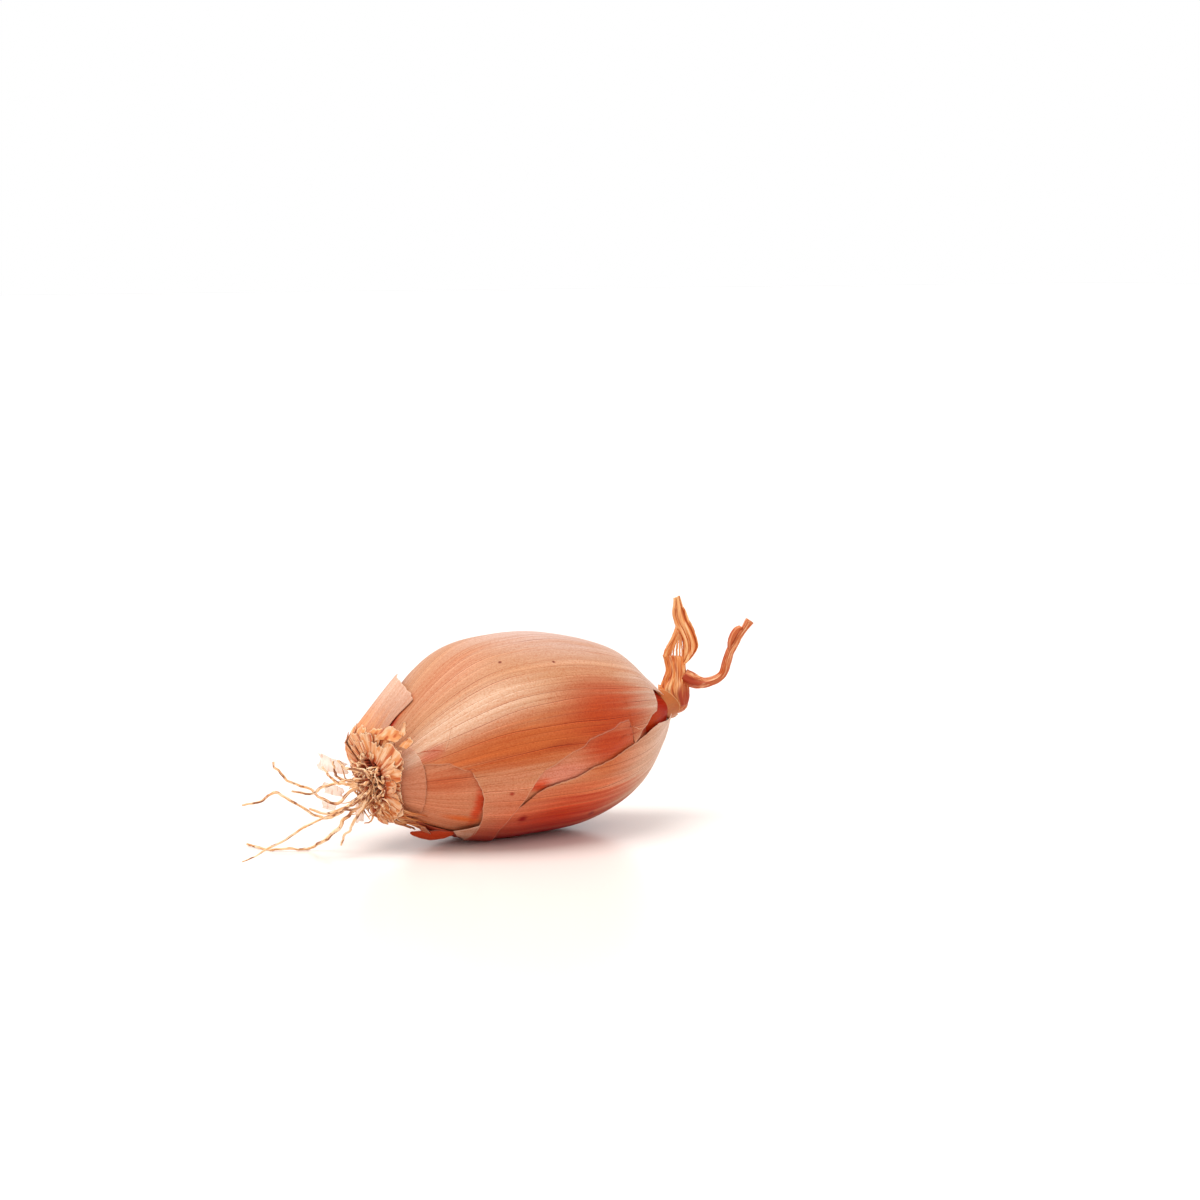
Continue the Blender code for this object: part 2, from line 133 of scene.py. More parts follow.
# Small scraps on the skin, by their four corners (distance in mm, angle), two at each end.
FOLDED_CORNER = ((11.7, 151), (15.6, 137.5), (13.9, 158), (16.4, 166))
UNDERSIDE_FLAKE = ((5.8, 164), (6.2, 155), (10.2, 183), (10.8, 175))
# Loose scraps round the root mat, in mm from the root plate: (sideways, towards the eye, height) of the
# middle, then width and rise.
LOOSE_SCRAPS_MM = (
    (-10.3, -2.9, 2.4, 6.2, 3.4), (-10.3, -4.5, -3.2, 4.4, 2.5), (-11.2, -3.0, -6.4, 3.4, 1.9),
    (-4.2, 1.9, -7.1, 1.8, 4.4),
)
# The dark crescent's middle, and the ways that it is long and wide.
CRESCENT_MIDDLE_MM = (10.9, -3.5, -12.9)
CRESCENT_UP = Vector((-0.2, -0.3, 0.93))

# Routes of the long roots, in mm from the middle of the root plate, from the root mat to the tip.
LONG_ROOTS = {
    "root_rising": ((-6.3, 0.8, -2), (-9.5, 1.5, -4.3), (-14, 1.2, -2.9), (-17.2, 0.8, -0.6),
                    (-21.8, 0.4, 1.4), (-24.9, -0.2, 4.1), (-26.7, -0.9, 6.5)),
    "root_kinked": ((-6.4, -1.6, -3.4), (-10.5, -2.6, -5.6), (-14.7, -1.9, -6.5), (-17, -1, -5.6),
                    (-21.8, 0.4, -2.5), (-25.3, 1, -0.5), (-28.3, 0.7, -2), (-32.9, 1, -2.5)),
    "root_to_table_front": ((-5.2, -0.4, -5.2), (-9.1, 0.2, -5.9), (-14.2, 1, -7.4), (-19.6, 1.6, -9.7),
                            (-26.3, 2.1, -13.1), (-31.9, 2.8, -14.9)),
    "root_to_table_back": ((-4.6, 1.6, -5.6), (-7.2, 1.9, -7.6), (-8.5, 3.2, -10.2), (-10.6, 5.7, -13.1),
                           (-13.4, 7.8, -14.9), (-17.5, 9.4, -15.0), (-20.4, 12.2, -15),
                           (-21.7, 19.4, -14.9)),
    "root_hanging": ((-5.6, -2.4, -4.9), (-8, -2, -8.4), (-9.1, -2.2, -10.3), (-10.6, -2, -11.7),
                     (-11.1, -2.6, -13)),
    "root_straight": ((-6.7, -0.6, 0.3), (-9.5, -2, 0.8), (-14.5, -2.2, 0), (-18.5, -2.3, -1),
                      (-22.7, -2.2, -0.4)),
    "root_hooked_front": ((-6.4, -2.6, -0.6), (-11.2, -3.6, 0.6), (-13.6, -4.2, 1.3), (-16.4, -5.6, 4),
                          (-18, -6.6, 5.5)),
    "root_hooked_back": ((-6.4, 2.2, 0), (-9.8, 1.9, 1.4), (-10.4, 1.2, 2.9), (-11.1, 0.4, 4.8)),
    "root_looped": ((-5, -3.4, 2), (-6.6, -3.4, 2.9), (-8.6, -3, 3.1), (-10.7, -2.4, 3.8),
                    (-11.6, -2.4, 5.4)),
    "root_short_brown": ((-6, -3.4, -2.6), (-10.4, -4.2, -4.2), (-15.4, -4.6, -5.6), (-19.7, -4.8, -4)),
}

# The neck and the leaf stems stand in a plane that faces the front and a little towards the root end, and
# lies this far towards the eye from the root plate. Their outlines are (sideways, height) in mm from the
# plate, in that plane. The neck's middle line has a third number, how far it lies towards the eye.
STEM_PLANE_MM = -44.8
NECK_MM = (
    (60.6, 9.9, 0), (61.8, 9.9, 0), (62.9, 10.0, -0.4), (64.0, 10.1, -0.6), (65.3, 10.0, -0.8),
    (65.7, 10.8, -0.9),
)
NECK_RADII_MM = (4.2, 3.7, 3.3, 3.0, 2.5, 1.6)
COLLAR_INNER = ((59.2, 13.2), (60.3, 11.8), (61.5, 9.9), (62.2, 8.4), (62.7, 7.4))
COLLAR_OUTER = ((59.2, 13.3), (62.4, 12.9), (64.8, 10.9), (65.4, 9.0), (64.6, 7.9))
TRUNK_LEFT = ((63.0, 8.9), (61.2, 12.9), (61.8, 15.3), (62.4, 17.3), (62.2, 19.2), (61.8, 20.8))
TRUNK_RIGHT = ((67.3, 9.2), (67.5, 11.6), (67.5, 14.2), (67.1, 16.6), (67.0, 18.8), (67.2, 20.4))
TRUNK_DEPTHS_MM = (2.6, 2.5, 2.0, 1.6, 1.2, 0.8)
SIDE_STEM_MM = (
    (66.4, 16.2), (67.5, 15.4), (69.4, 14.6), (71.4, 14.5), (73.9, 15.3), (75.4, 16.6), (76.1, 18.7),
    (76.9, 21.4), (78.1, 23.5), (79.1, 25.2), (80.3, 26.9), (81.5, 28.7),
)
SIDE_STEM_RADII_MM = (1.9, 2.15, 1.9, 1.4, 1.2, 1.2, 1.3, 1.2, 1.05, 0.9, 0.95, 1.3)

# Points closer than this are one point: within a sheet, and where two sheets join.
WELD = 0.000001
SEAM_WELD = 0.00001

# How much the pale fibres, and the ridges beside the veins, lighten the skin under them.
PALE_GAIN = (1.42, 1.5, 1.6, 1)

# The key light is as soft as a large window's, and comes from above and a little from the left.
KEY_SOFTNESS = math.radians(45)
KEY_DIRECTION = Vector((0.2, -0.12, -1))
# The board reaches this far each way, and the camera sees this far.
BOARD_REACH = 6
FARTHEST_SEEN = 20
SENSOR_WIDTH_MM = 36


def linear(code):
    """An sRGB hex colour as linear red, green, blue and alpha."""
    parts = [int(code[i:i + 2], 16) / 255 for i in (1, 3, 5)]
    return [c / 12.92 if c <= 0.04045 else ((c + 0.055) / 1.055) ** 2.4 for c in parts] + [1]


def tone_of(value):
    """A hex colour made linear; anything else stays as it is."""
    return linear(value) if isinstance(value, str) else value


def colour(name, description, code):
    return FloatVectorProperty(
        name=name, description=description, default=linear(code), subtype="COLOR", size=4, min=0, max=1)


def length(name, description, default):
    return FloatProperty(name=name, description=description, default=default, min=0, unit="LENGTH",
                         precision=4)


class ShallotSizes(bpy.types.PropertyGroup):
    skin_thickness: length("Skin thickness", "Thickness of the dry skins", 0.14 * MM)
    second_skin_depth: length("Second skin depth", "How far the second skin lies below the outer", 0.42 * MM)
    crack_depth: length("Crack depth", "How far the second skin lies below the outer at the crack", 0.04 * MM)
    inner_skin_depth: length("Inner skin depth", "How far the inner skin lies below the outer", 0.95 * MM)
    dent_depth: length("Dent depth", "Depth of the broad dents in the dried bulb", 0.28 * MM)
    rib_height: length("Rib height", "Height of the lengthwise ribs in the skin", 0.07 * MM)
    shoulder_hollow: length("Shoulder hollow", "How far the top is sunk just before the neck", 1.5 * MM)
    root_radius: length("Root radius", "Mean radius of a dried root", 0.3 * MM)
    short_root_count: IntProperty(name="Short roots", description="Roots in the mat", default=96, min=10)
    stub_count: IntProperty(name="Root stubs", description="Thick broken roots", default=64, min=5)


class ShallotColours(bpy.types.PropertyGroup):
    skin: colour("Skin", "Main tone of the outer skin", "#BC8560")
    # The pale flank is partly a painted highlight, the broad gloss band along it.
    skin_pale_and_highlight: colour("Skin, cream", "The pale flank", "#D9B295")
    skin_orange: colour("Skin, orange", "The front, below the pale flank", "#BA5A26")
    skin_flush: colour("Skin, flush", "The red shoulder near the neck", "#AC3A0A")
    # The grey rose bloom round the neck is partly a painted sheen.
    skin_bloom_and_sheen: colour("Skin, bloom", "The grey rose bloom round the neck", "#CBB6A9")
    # The deep red underside is the skin's own red with painted shade.
    skin_belly_and_shade: colour("Skin, belly", "The deep red underside", "#AE0E00")
    lilac: colour("Lilac", "Where the second skin shows fresh in the tear", "#C67A62")
    inner_red: colour("Inner red", "The glossy inner skin", "#9C1E02")
    inner_orange: colour("Inner orange", "Lighter streaks in the inner skin", "#C94E18")
    cream: colour("Cream", "Thin clear skin and flake edges", "#F2CCA6")
    frill: colour("Frill", "The frill's main tone", "#E0945A")
    # In the folds this deep tone is painted shade.
    frill_deep_and_shade: colour("Frill, deep", "The frill near the root plate and in its folds", "#B84A18")
    frill_brown: colour("Frill, brown", "Burnt edges of the frill", "#8A421A")
    root: colour("Root", "Dry roots", "#EDB47C")
    root_brown: colour("Root, brown", "Shaded and old stretches of the roots", "#86462A")
    # The root mat's dark heart is painted shade; the same dark is the plate's own corky colour.
    root_dark_and_shade: colour("Root, dark", "The dark heart of the root mat", "#55150A")
    # On the fold crests this light tone is a painted highlight.
    stem_light_and_highlight: colour("Stem, light", "Light ribs of the dry stems", "#F6C084")
    stem: colour("Stem", "Main tone of the dry stems", "#DC7E3C")
    # In the folds this deep rust tone is painted shade; on stained places it is rust.
    stem_rust_and_shade: colour("Stem, deep", "Rust in the folds of the dry stems", "#A2300A")
    tan: colour("Tan", "The rounded scrap at the neck", "#AE602E")
    floor: colour("Floor", "The pale floor", "#F0E5DE")


class ShallotStage(bpy.types.PropertyGroup):
    heading: FloatProperty(name="Heading", description="Camera's turn from straight ahead",
                           default=math.radians(35), subtype="ANGLE")
    pitch: FloatProperty(name="Pitch", description="How far the camera looks down",
                         default=math.radians(6.5), subtype="ANGLE")
    distance: length("Distance", "From the camera to the point it aims at", 0.7)
    aim: FloatVectorProperty(name="Aim", description="The point that the camera looks at",
                             default=(21.55 * MM, -7.78 * MM, 51.25 * MM), subtype="XYZ", unit="LENGTH")
    lens: FloatProperty(name="Lens", description="Focal length on the sensor", default=95.34,
                        subtype="DISTANCE_CAMERA")
    key: FloatProperty(name="Key light", description="Strength of the soft key light", default=2.3, min=0)
    surround: FloatProperty(name="Surround", description="Strength of the white surround", default=1.0, min=0)


# ---------------------------------------------------------------- curves and places


def smoothstep(low, high, value):
    t = min(max((value - low) / (high - low), 0), 1)
    return t * t * (3 - 2 * t)


def mix(a, b, t):
    return a + (b - a) * t


def vectors(rows):
    return [Vector(row) for row in rows]


def along(points, position):
    """The value at a position along (position, value) points, on straight runs between them."""
    previous = points[0]
    for point in points:
        if position <= point[0]:
            run = point[0] - previous[0]
            return mix(previous[1], point[1], (position - previous[0]) / run) if run else point[1]
        previous = point
    return previous[1]


def smooth_through(points, place):
    """A smooth curve through evenly numbered points (vectors or numbers), read from 0 to 1."""
    last = len(points) - 1
    position = place * last
    i = min(max(int(position), 0), last - 1)
    t = position - i
    p0, p1, p2, p3 = (points[max(0, min(last, i + k))] for k in (-1, 0, 1, 2))
    pull_in, pull_out = (p2 - p0) * 0.5, (p3 - p1) * 0.5
    t2, t3 = t * t, t * t * t
    return (p1 * (2 * t3 - 3 * t2 + 1) + pull_in * (t3 - 2 * t2 + t) + p2 * (3 * t2 - 2 * t3)
            + pull_out * (t3 - t2))


def patch(corners, u, v):
    """The point at (u, v) between four corners: two at v = 0, then two at v = 1."""
    return mix(mix(corners[0], corners[1], u), mix(corners[2], corners[3], u), v)


def profile_slope(i):
    """Slope of the bulb's outline at one of its stations, from the stations on both sides."""
    a, b = PROFILE_MM[max(i - 1, 0)], PROFILE_MM[min(i + 1, len(PROFILE_MM) - 1)]
    return (b[1] - a[1]) / (b[0] - a[0])


def bulb_radius(distance):
    """Outer radius at a distance from the root plate, on a smooth curve through the profile."""
    s = min(max(distance / MM, 0), PROFILE_MM[-1][0])
    i = max(k for k in range(len(PROFILE_MM) - 1) if PROFILE_MM[k][0] <= s)
    (s0, r0), (s1, r1) = PROFILE_MM[i], PROFILE_MM[i + 1]
    run = s1 - s0
    t = (s - s0) / run
    rise = r0 * (1 + 2 * t) * (1 - t) ** 2 + r1 * t * t * (3 - 2 * t)
    bend = run * (profile_slope(i) * t * (1 - t) ** 2 - profile_slope(i + 1) * t * t * (1 - t))
    return (rise + bend) * MM


def centre_at(distance):
    turn = math.pi * distance / BULB_LENGTH
    bow = CENTRELINE_BOW * math.sin(turn) + CENTRELINE_WAVE * math.sin(2 * turn)
    return ROOT_CENTRE + AXIS * distance + UP * bow


def outward(angle):
    turn = math.radians(angle)
    return UP * math.cos(turn) + FRONT * math.sin(turn)


def round_axis(distance, angle, radius):
    """The point at a radius from the bulb's bent axis."""
    return centre_at(distance) + outward(angle) * radius


def ring_point(turn, radius, height):
    return Vector((math.cos(turn) * radius, math.sin(turn) * radius, height))


def ring_noise(turn, detail, shift):
    """Repeatable noise round a ring, from -1 to 1, which closes on itself."""
    return noise.noise(ring_point(turn, 1, 0) * detail + Vector(shift))


def relief(distance, angle, sizes):
    """Broad dents and lengthwise ribs that every skin follows, and the sunken shoulder at the neck."""
    turn = math.radians(angle)
    dent_length, rib_length, smooth_end = 24 * MM, 70 * MM, 8 * MM
    dents = ring_noise(turn, 1.4, (0, 0, distance / dent_length))
    ribs = ring_noise(turn, 10, (5, 0, distance / rib_length))
    fade = smoothstep(0, smooth_end, distance) * smoothstep(0, smooth_end, BULB_LENGTH - distance)
    shoulder = smoothstep(61 * MM, 71 * MM, distance) * smoothstep(0.1, 0.9, math.cos(turn - math.radians(5)))
    return (sizes.dent_depth * dents + sizes.rib_height * ribs) * fade - sizes.shoulder_hollow * shoulder


def settle(point, floor=0.0):
    """Presses a point softly onto the floor that the bulb lies on."""
    softness = 0.15 * MM
    over = point.z - floor
    return Vector((point.x, point.y, floor + (over + math.sqrt(over * over + softness * softness)) / 2))


def on_skin(distance, angle, lift, sizes):
    """The point on the bulb's skin, with its relief, settled on the floor."""
    radius = bulb_radius(distance) + relief(distance, angle, sizes) + lift
    return settle(round_axis(distance, angle, radius), max(-lift, 0))


def skin_grain(distance, angle):
    """Grain coordinates on the bulb: two round it and one along it, in metres."""
    return ring_point(math.radians(angle), GRAIN_RADIUS, distance)


def skin_spot(spot, lift, sizes):
    """The point and the grain on the skin at a spot (distance in mm, angle)."""
    return on_skin(spot[0] * MM, spot[1], lift, sizes), skin_grain(spot[0] * MM, spot[1])


def rough(position, scale, seed=0.0):
    """Repeatable noise from -1 to 1 at a place along a line."""
    return noise.noise(Vector((position / scale, seed * 7.31 + 0.37, seed * 3.17)))


def rough_vector(position, scale, seed):
    return Vector([rough(position, scale, seed + i) for i in range(3)])


def fading(gap, reach):
    """1 at no gap from an edge, fading over the reach."""
    return math.exp(-gap / reach)


def from_plate(place_mm):
    return ROOT_CENTRE + Vector(place_mm) * MM


def facing_view(sideways, towards, height):
    """The point at mm sideways, towards the eye and up from the root plate."""
    return ROOT_CENTRE + SIDEWAYS * sideways * MM + TOWARDS * towards * MM + Vector((0, 0, height * MM))


def in_stem_plane(place_mm, towards_mm=0.0):
    """The point at (sideways, height) in the plane of the neck and stems, moved towards the eye."""
    return facing_view(place_mm[0], STEM_PLANE_MM + towards_mm, place_mm[1])


# ---------------------------------------------------------------- meshes


def new_bmesh():
    bm = bmesh.new()
    bm.verts.layers.float_vector.new("grain")
    bm.verts.layers.float.new("edge")
    # The fold layer also carries painted light: the frill and stem materials lay highlight on its crests and
    # shade in its furrows.
    bm.verts.layers.float.new("fold")
    return bm


def add_sheet(bm, place, across, lengthwise):
    """Adds a grid sheet. place(u, v), for u and v from 0 to 1, gives its point, its grain, its edge wear,
    and on a folded sheet how high in a fold it lies, from -1 to 1."""
    layers = bm.verts.layers
    verts = bmesh.ops.create_grid(bm, x_segments=across, y_segments=lengthwise, size=0.5)["verts"]
    for vert in verts:
        point, grain, edge, *fold = place(vert.co.x + 0.5, vert.co.y + 0.5)
        vert.co = point
        vert[layers.float_vector["grain"]] = grain
        vert[layers.float["edge"]] = edge
        vert[layers.float["fold"]] = fold[0] if fold else 0.0
    return verts


def close_tube(bm, verts):
    """Joins a sheet that was wrapped round into a tube, and caps its ends."""
    bmesh.ops.remove_doubles(bm, verts=verts, dist=WELD)
    kept = [v for v in verts if v.is_valid]
    rims = list({e for v in kept for e in v.link_edges if e.is_boundary})
    caps = bmesh.ops.holes_fill(bm, edges=rims, sides=0)["faces"]
    faces = list({f for v in kept for f in v.link_faces} | set(caps))
    bmesh.ops.recalc_face_normals(bm, faces=faces)


def add_strand(bm, points, radii, sides, seed=0.0, section=None, wear=None):
    """Adds a closed strand along points. section(turn, t) scales its radius round and along it.

    wear(turn, t) gives its edge value, which is else 0 at its start and 1 at its tip.
    """
    frames = []
    side = None
    last = len(points) - 1
    for i, point in enumerate(points):
        ahead = points[min(i + 1, last)] - points[max(i - 1, 0)]
        ahead.normalize()
        if side is None:
            side = ahead.orthogonal().normalized()
        side = (side - ahead * side.dot(ahead)).normalized()
        frames.append((point, side, ahead.cross(side)))
    travelled = [0.0]
    for a, b in zip(points, points[1:]):
        travelled.append(travelled[-1] + (b - a).length)

    def place(u, v):
        i = min(round(v * last), last)
        turn, t = math.tau * u, i / last
        centre, first, second = frames[i]
        radius = radii[i] * (section(turn, t) if section else 1)
        spoke = first * math.cos(turn) + second * math.sin(turn)
        grain = ring_point(turn, radii[i], travelled[i] + seed * 0.05)
        return centre + spoke * radius, grain, wear(turn, t) if wear else t

    close_tube(bm, add_sheet(bm, place, sides, last))


def add_smooth_strand(bm, stops, radii_mm, rings, sides, seed, section, wear):
    """Adds a strand of rings along a smooth curve through stops. Its radii run as smoothly."""
    places = [k / (rings - 1) for k in range(rings)]
    points = [smooth_through(stops, t) for t in places]
    radii = [smooth_through(radii_mm, t) * MM for t in places]
    add_strand(bm, points, radii, sides, seed, section, wear)


def add_object(context, name, data):
    thing = bpy.data.objects.new(name, data)
    context.scene.collection.objects.link(thing)
    return thing


def mesh_of(bm, name, material):
    mesh = bpy.data.meshes.new(name)
    bm.to_mesh(mesh)
    bm.free()
    mesh.materials.append(material)
    return mesh


def finish_piece(context, name, bm, material, stands_for=(), thickness=0.0, offset=-1.0):
    """Makes a bmesh a piece of the shallot. A wall grows inwards, or to both sides with an offset of 0."""
    piece = add_object(context, name, mesh_of(bm, name, material))
    piece.data.shade_smooth()
    if thickness:
        wall = piece.modifiers.new("Thickness", "SOLIDIFY")
        wall.thickness = thickness
        wall.offset = offset
        wall.use_quality_normals = True
    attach(piece, BODY)
    if stands_for:
        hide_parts(*stands_for)


def sheet_piece(context, name, place, grid, material, stands_for=(), thickness=0.0, closed=False):
    """Makes a piece of one sheet, with its grid's counts across and lengthwise, or of a closed tube."""
    bm = new_bmesh()
    verts = add_sheet(bm, place, *grid)
    if closed:
        close_tube(bm, verts)
    finish_piece(context, name, bm, material, stands_for, thickness)


# ---------------------------------------------------------------- materials


def add(tree, kind, inputs=None, out=0, **settings):
    """Adds a shader node with its settings and gives one of its outputs. Inputs are values or outputs."""
    node = tree.nodes.new("ShaderNode" + kind)
    for name, value in settings.items():
        setattr(node, name, value)
    for key, value in (inputs or {}).items():
        if isinstance(value, bpy.types.NodeSocket):
            tree.links.new(value, node.inputs[key])
        else:
            node.inputs[key].default_value = value
    return node.outputs[out]


def new_material(name, roughness, specular):
    """A material with its tree and its shader."""
    material = bpy.data.materials.new(name)
    material.use_nodes = True
    tree = material.node_tree
    shader = tree.nodes["Principled BSDF"]
    shader.inputs["Roughness"].default_value = roughness
    shader.inputs["IOR"].default_value = 1.45
    shader.inputs["Specular IOR Level"].default_value = specular
    return material, tree, shader


def finish_surface(tree, shader, tone, height, strength, distance):
    """Gives the shader its colour and its bumps."""
    tree.links.new(tone, shader.inputs["Base Color"])
    bump = add(tree, "Bump", {"Height": height, "Strength": strength, "Distance": distance})
    tree.links.new(bump, shader.inputs["Normal"])


def streak_field(tree, coordinates, across, lengthwise, detail=2.0, offset=(0, 0, 0)):
    """Noise drawn out along the grain: across and lengthwise are its feature sizes in metres."""
    scale = (1 / across, 1 / across, 1 / lengthwise)
    scaled = add(tree, "Mapping", {"Vector": coordinates, "Location": offset, "Scale": scale})
    return add(tree, "TexNoise", {"Vector": scaled, "Scale": 1.0, "Detail": detail, "Roughness": 0.55})


def lay_over(tree, tone, over, value, start, full, strength=1.0, how="MIX"):
    """Lays a colour over a tone: not at all where value is at start, at its strength where it is at full."""
    factor = add(tree, "MapRange", {0: value, 1: start, 2: full, 3: 0.0, 4: strength},
                 interpolation_type="SMOOTHSTEP")
    return add(tree, "Mix", {0: factor, 6: tone_of(tone), 7: tone_of(over)}, 2, data_type="RGBA",
               blend_type=how)


def lay_all(tree, tone, layers, how="MIX"):
    """Lays (colour, value, start, full, strength) layers over a tone in order."""
    for over, value, start, full, strength in layers:
        tone = lay_over(tree, tone, over, value, start, full, strength, how)
    return tone


def veins(tree, grain, count, width, seed):
    """Thin veins along the bulb, count of them round it, which wander, fade out and come back.

    Gives how strongly each place lies on a vein, and on the light ridge beside one.
    """
    x, y, z = add(tree, "SeparateXYZ", {0: grain}).node.outputs
    turn = add(tree, "Math", {0: y, 1: x}, operation="ARCTAN2")
    sway, stretch_length, fade_from, fade_to = 1.9, 34 * MM, 0.4, 0.54
    wander = streak_field(tree, grain, 8 * MM, 55 * MM, 2.0, (seed, 0, 0))
    shifted = add(tree, "Math", {0: wander, 1: sway}, operation="MULTIPLY")
    phase = add(tree, "Math", {0: turn, 1: count / math.tau, 2: shifted}, operation="MULTIPLY_ADD")
    wrapped = add(tree, "Math", {0: phase, 1: float(count)}, operation="FLOORED_MODULO")
    number = add(tree, "Math", {0: wrapped}, operation="FLOOR")
    inside = add(tree, "Math", {0: wrapped}, operation="FRACT")
    own_place = add(tree, "Math", {0: number, 1: 3.7}, operation="MULTIPLY")
    lengthwise = add(tree, "Math", {0: z, 1: stretch_length}, operation="DIVIDE")
    stretch = add(tree, "CombineXYZ", {"X": own_place, "Y": seed, "Z": lengthwise})
    presence = add(tree, "TexNoise", {"Vector": stretch, "Scale": 1.0, "Detail": 1.0})
    shown = add(tree, "MapRange", {0: presence, 1: fade_from, 2: fade_to}, interpolation_type="SMOOTHSTEP")
    lines = []
    for middle in (0.5, 0.5 + 1.3 * width):
        away = add(tree, "Math", {0: inside, 1: middle}, operation="SUBTRACT")
        gap = add(tree, "Math", {0: away}, operation="ABSOLUTE")
        line = add(tree, "MapRange", {0: gap, 1: width, 2: 0.0}, interpolation_type="SMOOTHSTEP")
        lines.append(add(tree, "Math", {0: line, 1: shown}, operation="MULTIPLY"))
    return lines


def skin_material(name, main, zones, roughness, vein_strength=1.0, rim=0.2, specular=0.17):
    """Dry bulb skin: soft zones of colour, streaks and fibres along the grain, thin veins, pale torn edges.

    zones are (distance mm, angle, half length mm, half width in degrees, colour, strength).
    """
    material, tree, shader = new_material(name, roughness, specular)
    grain = add(tree, "Attribute", out="Vector", attribute_name="grain")
    edge = add(tree, "Attribute", out="Fac", attribute_name="edge")

    # The zones' borders wander by fibres 1.3 mm apart, as colour in a dry skin does.
    wander = 0.26
    jitter = streak_field(tree, grain, 1.3 * MM, 40 * MM, 3.0, (0.4, 2.3, 1.0))
    push = add(tree, "MapRange", {0: jitter, 1: 0.2, 2: 0.8, 3: -wander, 4: wander})
    shift = add(tree, "CombineXYZ", {"X": push, "Y": push, "Z": push})
    tone = main
    for distance, angle, half_length, half_width, zone_colour, strength in zones:
        width = GRAIN_RADIUS * math.radians(half_width)
        scale = (1 / width, 1 / width, 1 / (half_length * MM))
        away = add(tree, "VectorMath", {0: grain, 1: skin_grain(distance * MM, angle)}, operation="SUBTRACT")
        scaled = add(tree, "VectorMath", {0: away, 1: scale, 2: shift}, operation="MULTIPLY_ADD")
        spread = add(tree, "VectorMath", {0: scaled}, "Value", operation="LENGTH")
        tone = lay_over(tree, tone, zone_colour, spread, start=1.1, full=0.15, strength=strength)

    # Streaks 2 mm apart, fibres 0.6 mm apart, and the skin's cells, drawn at 0.3 mm so that they show.
    streaks = streak_field(tree, grain, 2.2 * MM, 85 * MM, 3.0, (1.7, 0.3, 0.0))
    fibres = streak_field(tree, grain, 0.6 * MM, 24 * MM, 3.0, (0, 0.7, 0.0))
    cells = streak_field(tree, grain, 0.3 * MM, 0.4 * MM, 1.0)
    # Veins 2.5 mm apart where the bulb is thickest, and finer ones between them.
    wide, wide_ridge = veins(tree, grain, count=54, width=0.042, seed=1.3)
    fine, fine_ridge = veins(tree, grain, count=97, width=0.06, seed=8.1)
    warm, brown = "#EDC0A0", "#A05C3C"
    tone = lay_all(tree, tone, (
        (warm, streaks, 0.5, 0.28, 0.45),
        (PALE_GAIN, streaks, 0.5, 0.74, 0.32),
        (warm, fibres, 0.5, 0.26, 0.5),
        (PALE_GAIN, fibres, 0.52, 0.76, 0.4),
        (warm, cells, 0.5, 0.28, 0.55),
        (PALE_GAIN, cells, 0.54, 0.76, 0.35),
        (PALE_GAIN, wide_ridge, 0.0, 1.0, 0.75 * vein_strength),
        (brown, wide, 0.0, 1.0, 0.85 * vein_strength),
        (PALE_GAIN, fine_ridge, 0.0, 1.0, 0.4 * vein_strength),
        (brown, fine, 0.0, 1.0, 0.4 * vein_strength),
    ), "MULTIPLY")

    # A torn edge is thin and clear, so it reads pale.
    tone = lay_over(tree, tone, "#F0CDB0", edge, start=0.4, full=1.0, strength=rim)
    grooves = add(tree, "Math", {0: wide, 1: -0.5, 2: fibres}, operation="MULTIPLY_ADD")
    finish_surface(tree, shader, tone, grooves, strength=0.3, distance=0.06 * MM)
    dull = add(tree, "MapRange", {0: streaks, 1: 0.3, 2: 0.7, 3: roughness + 0.07, 4: roughness - 0.05})
    tree.links.new(dull, shader.inputs["Roughness"])
    return material


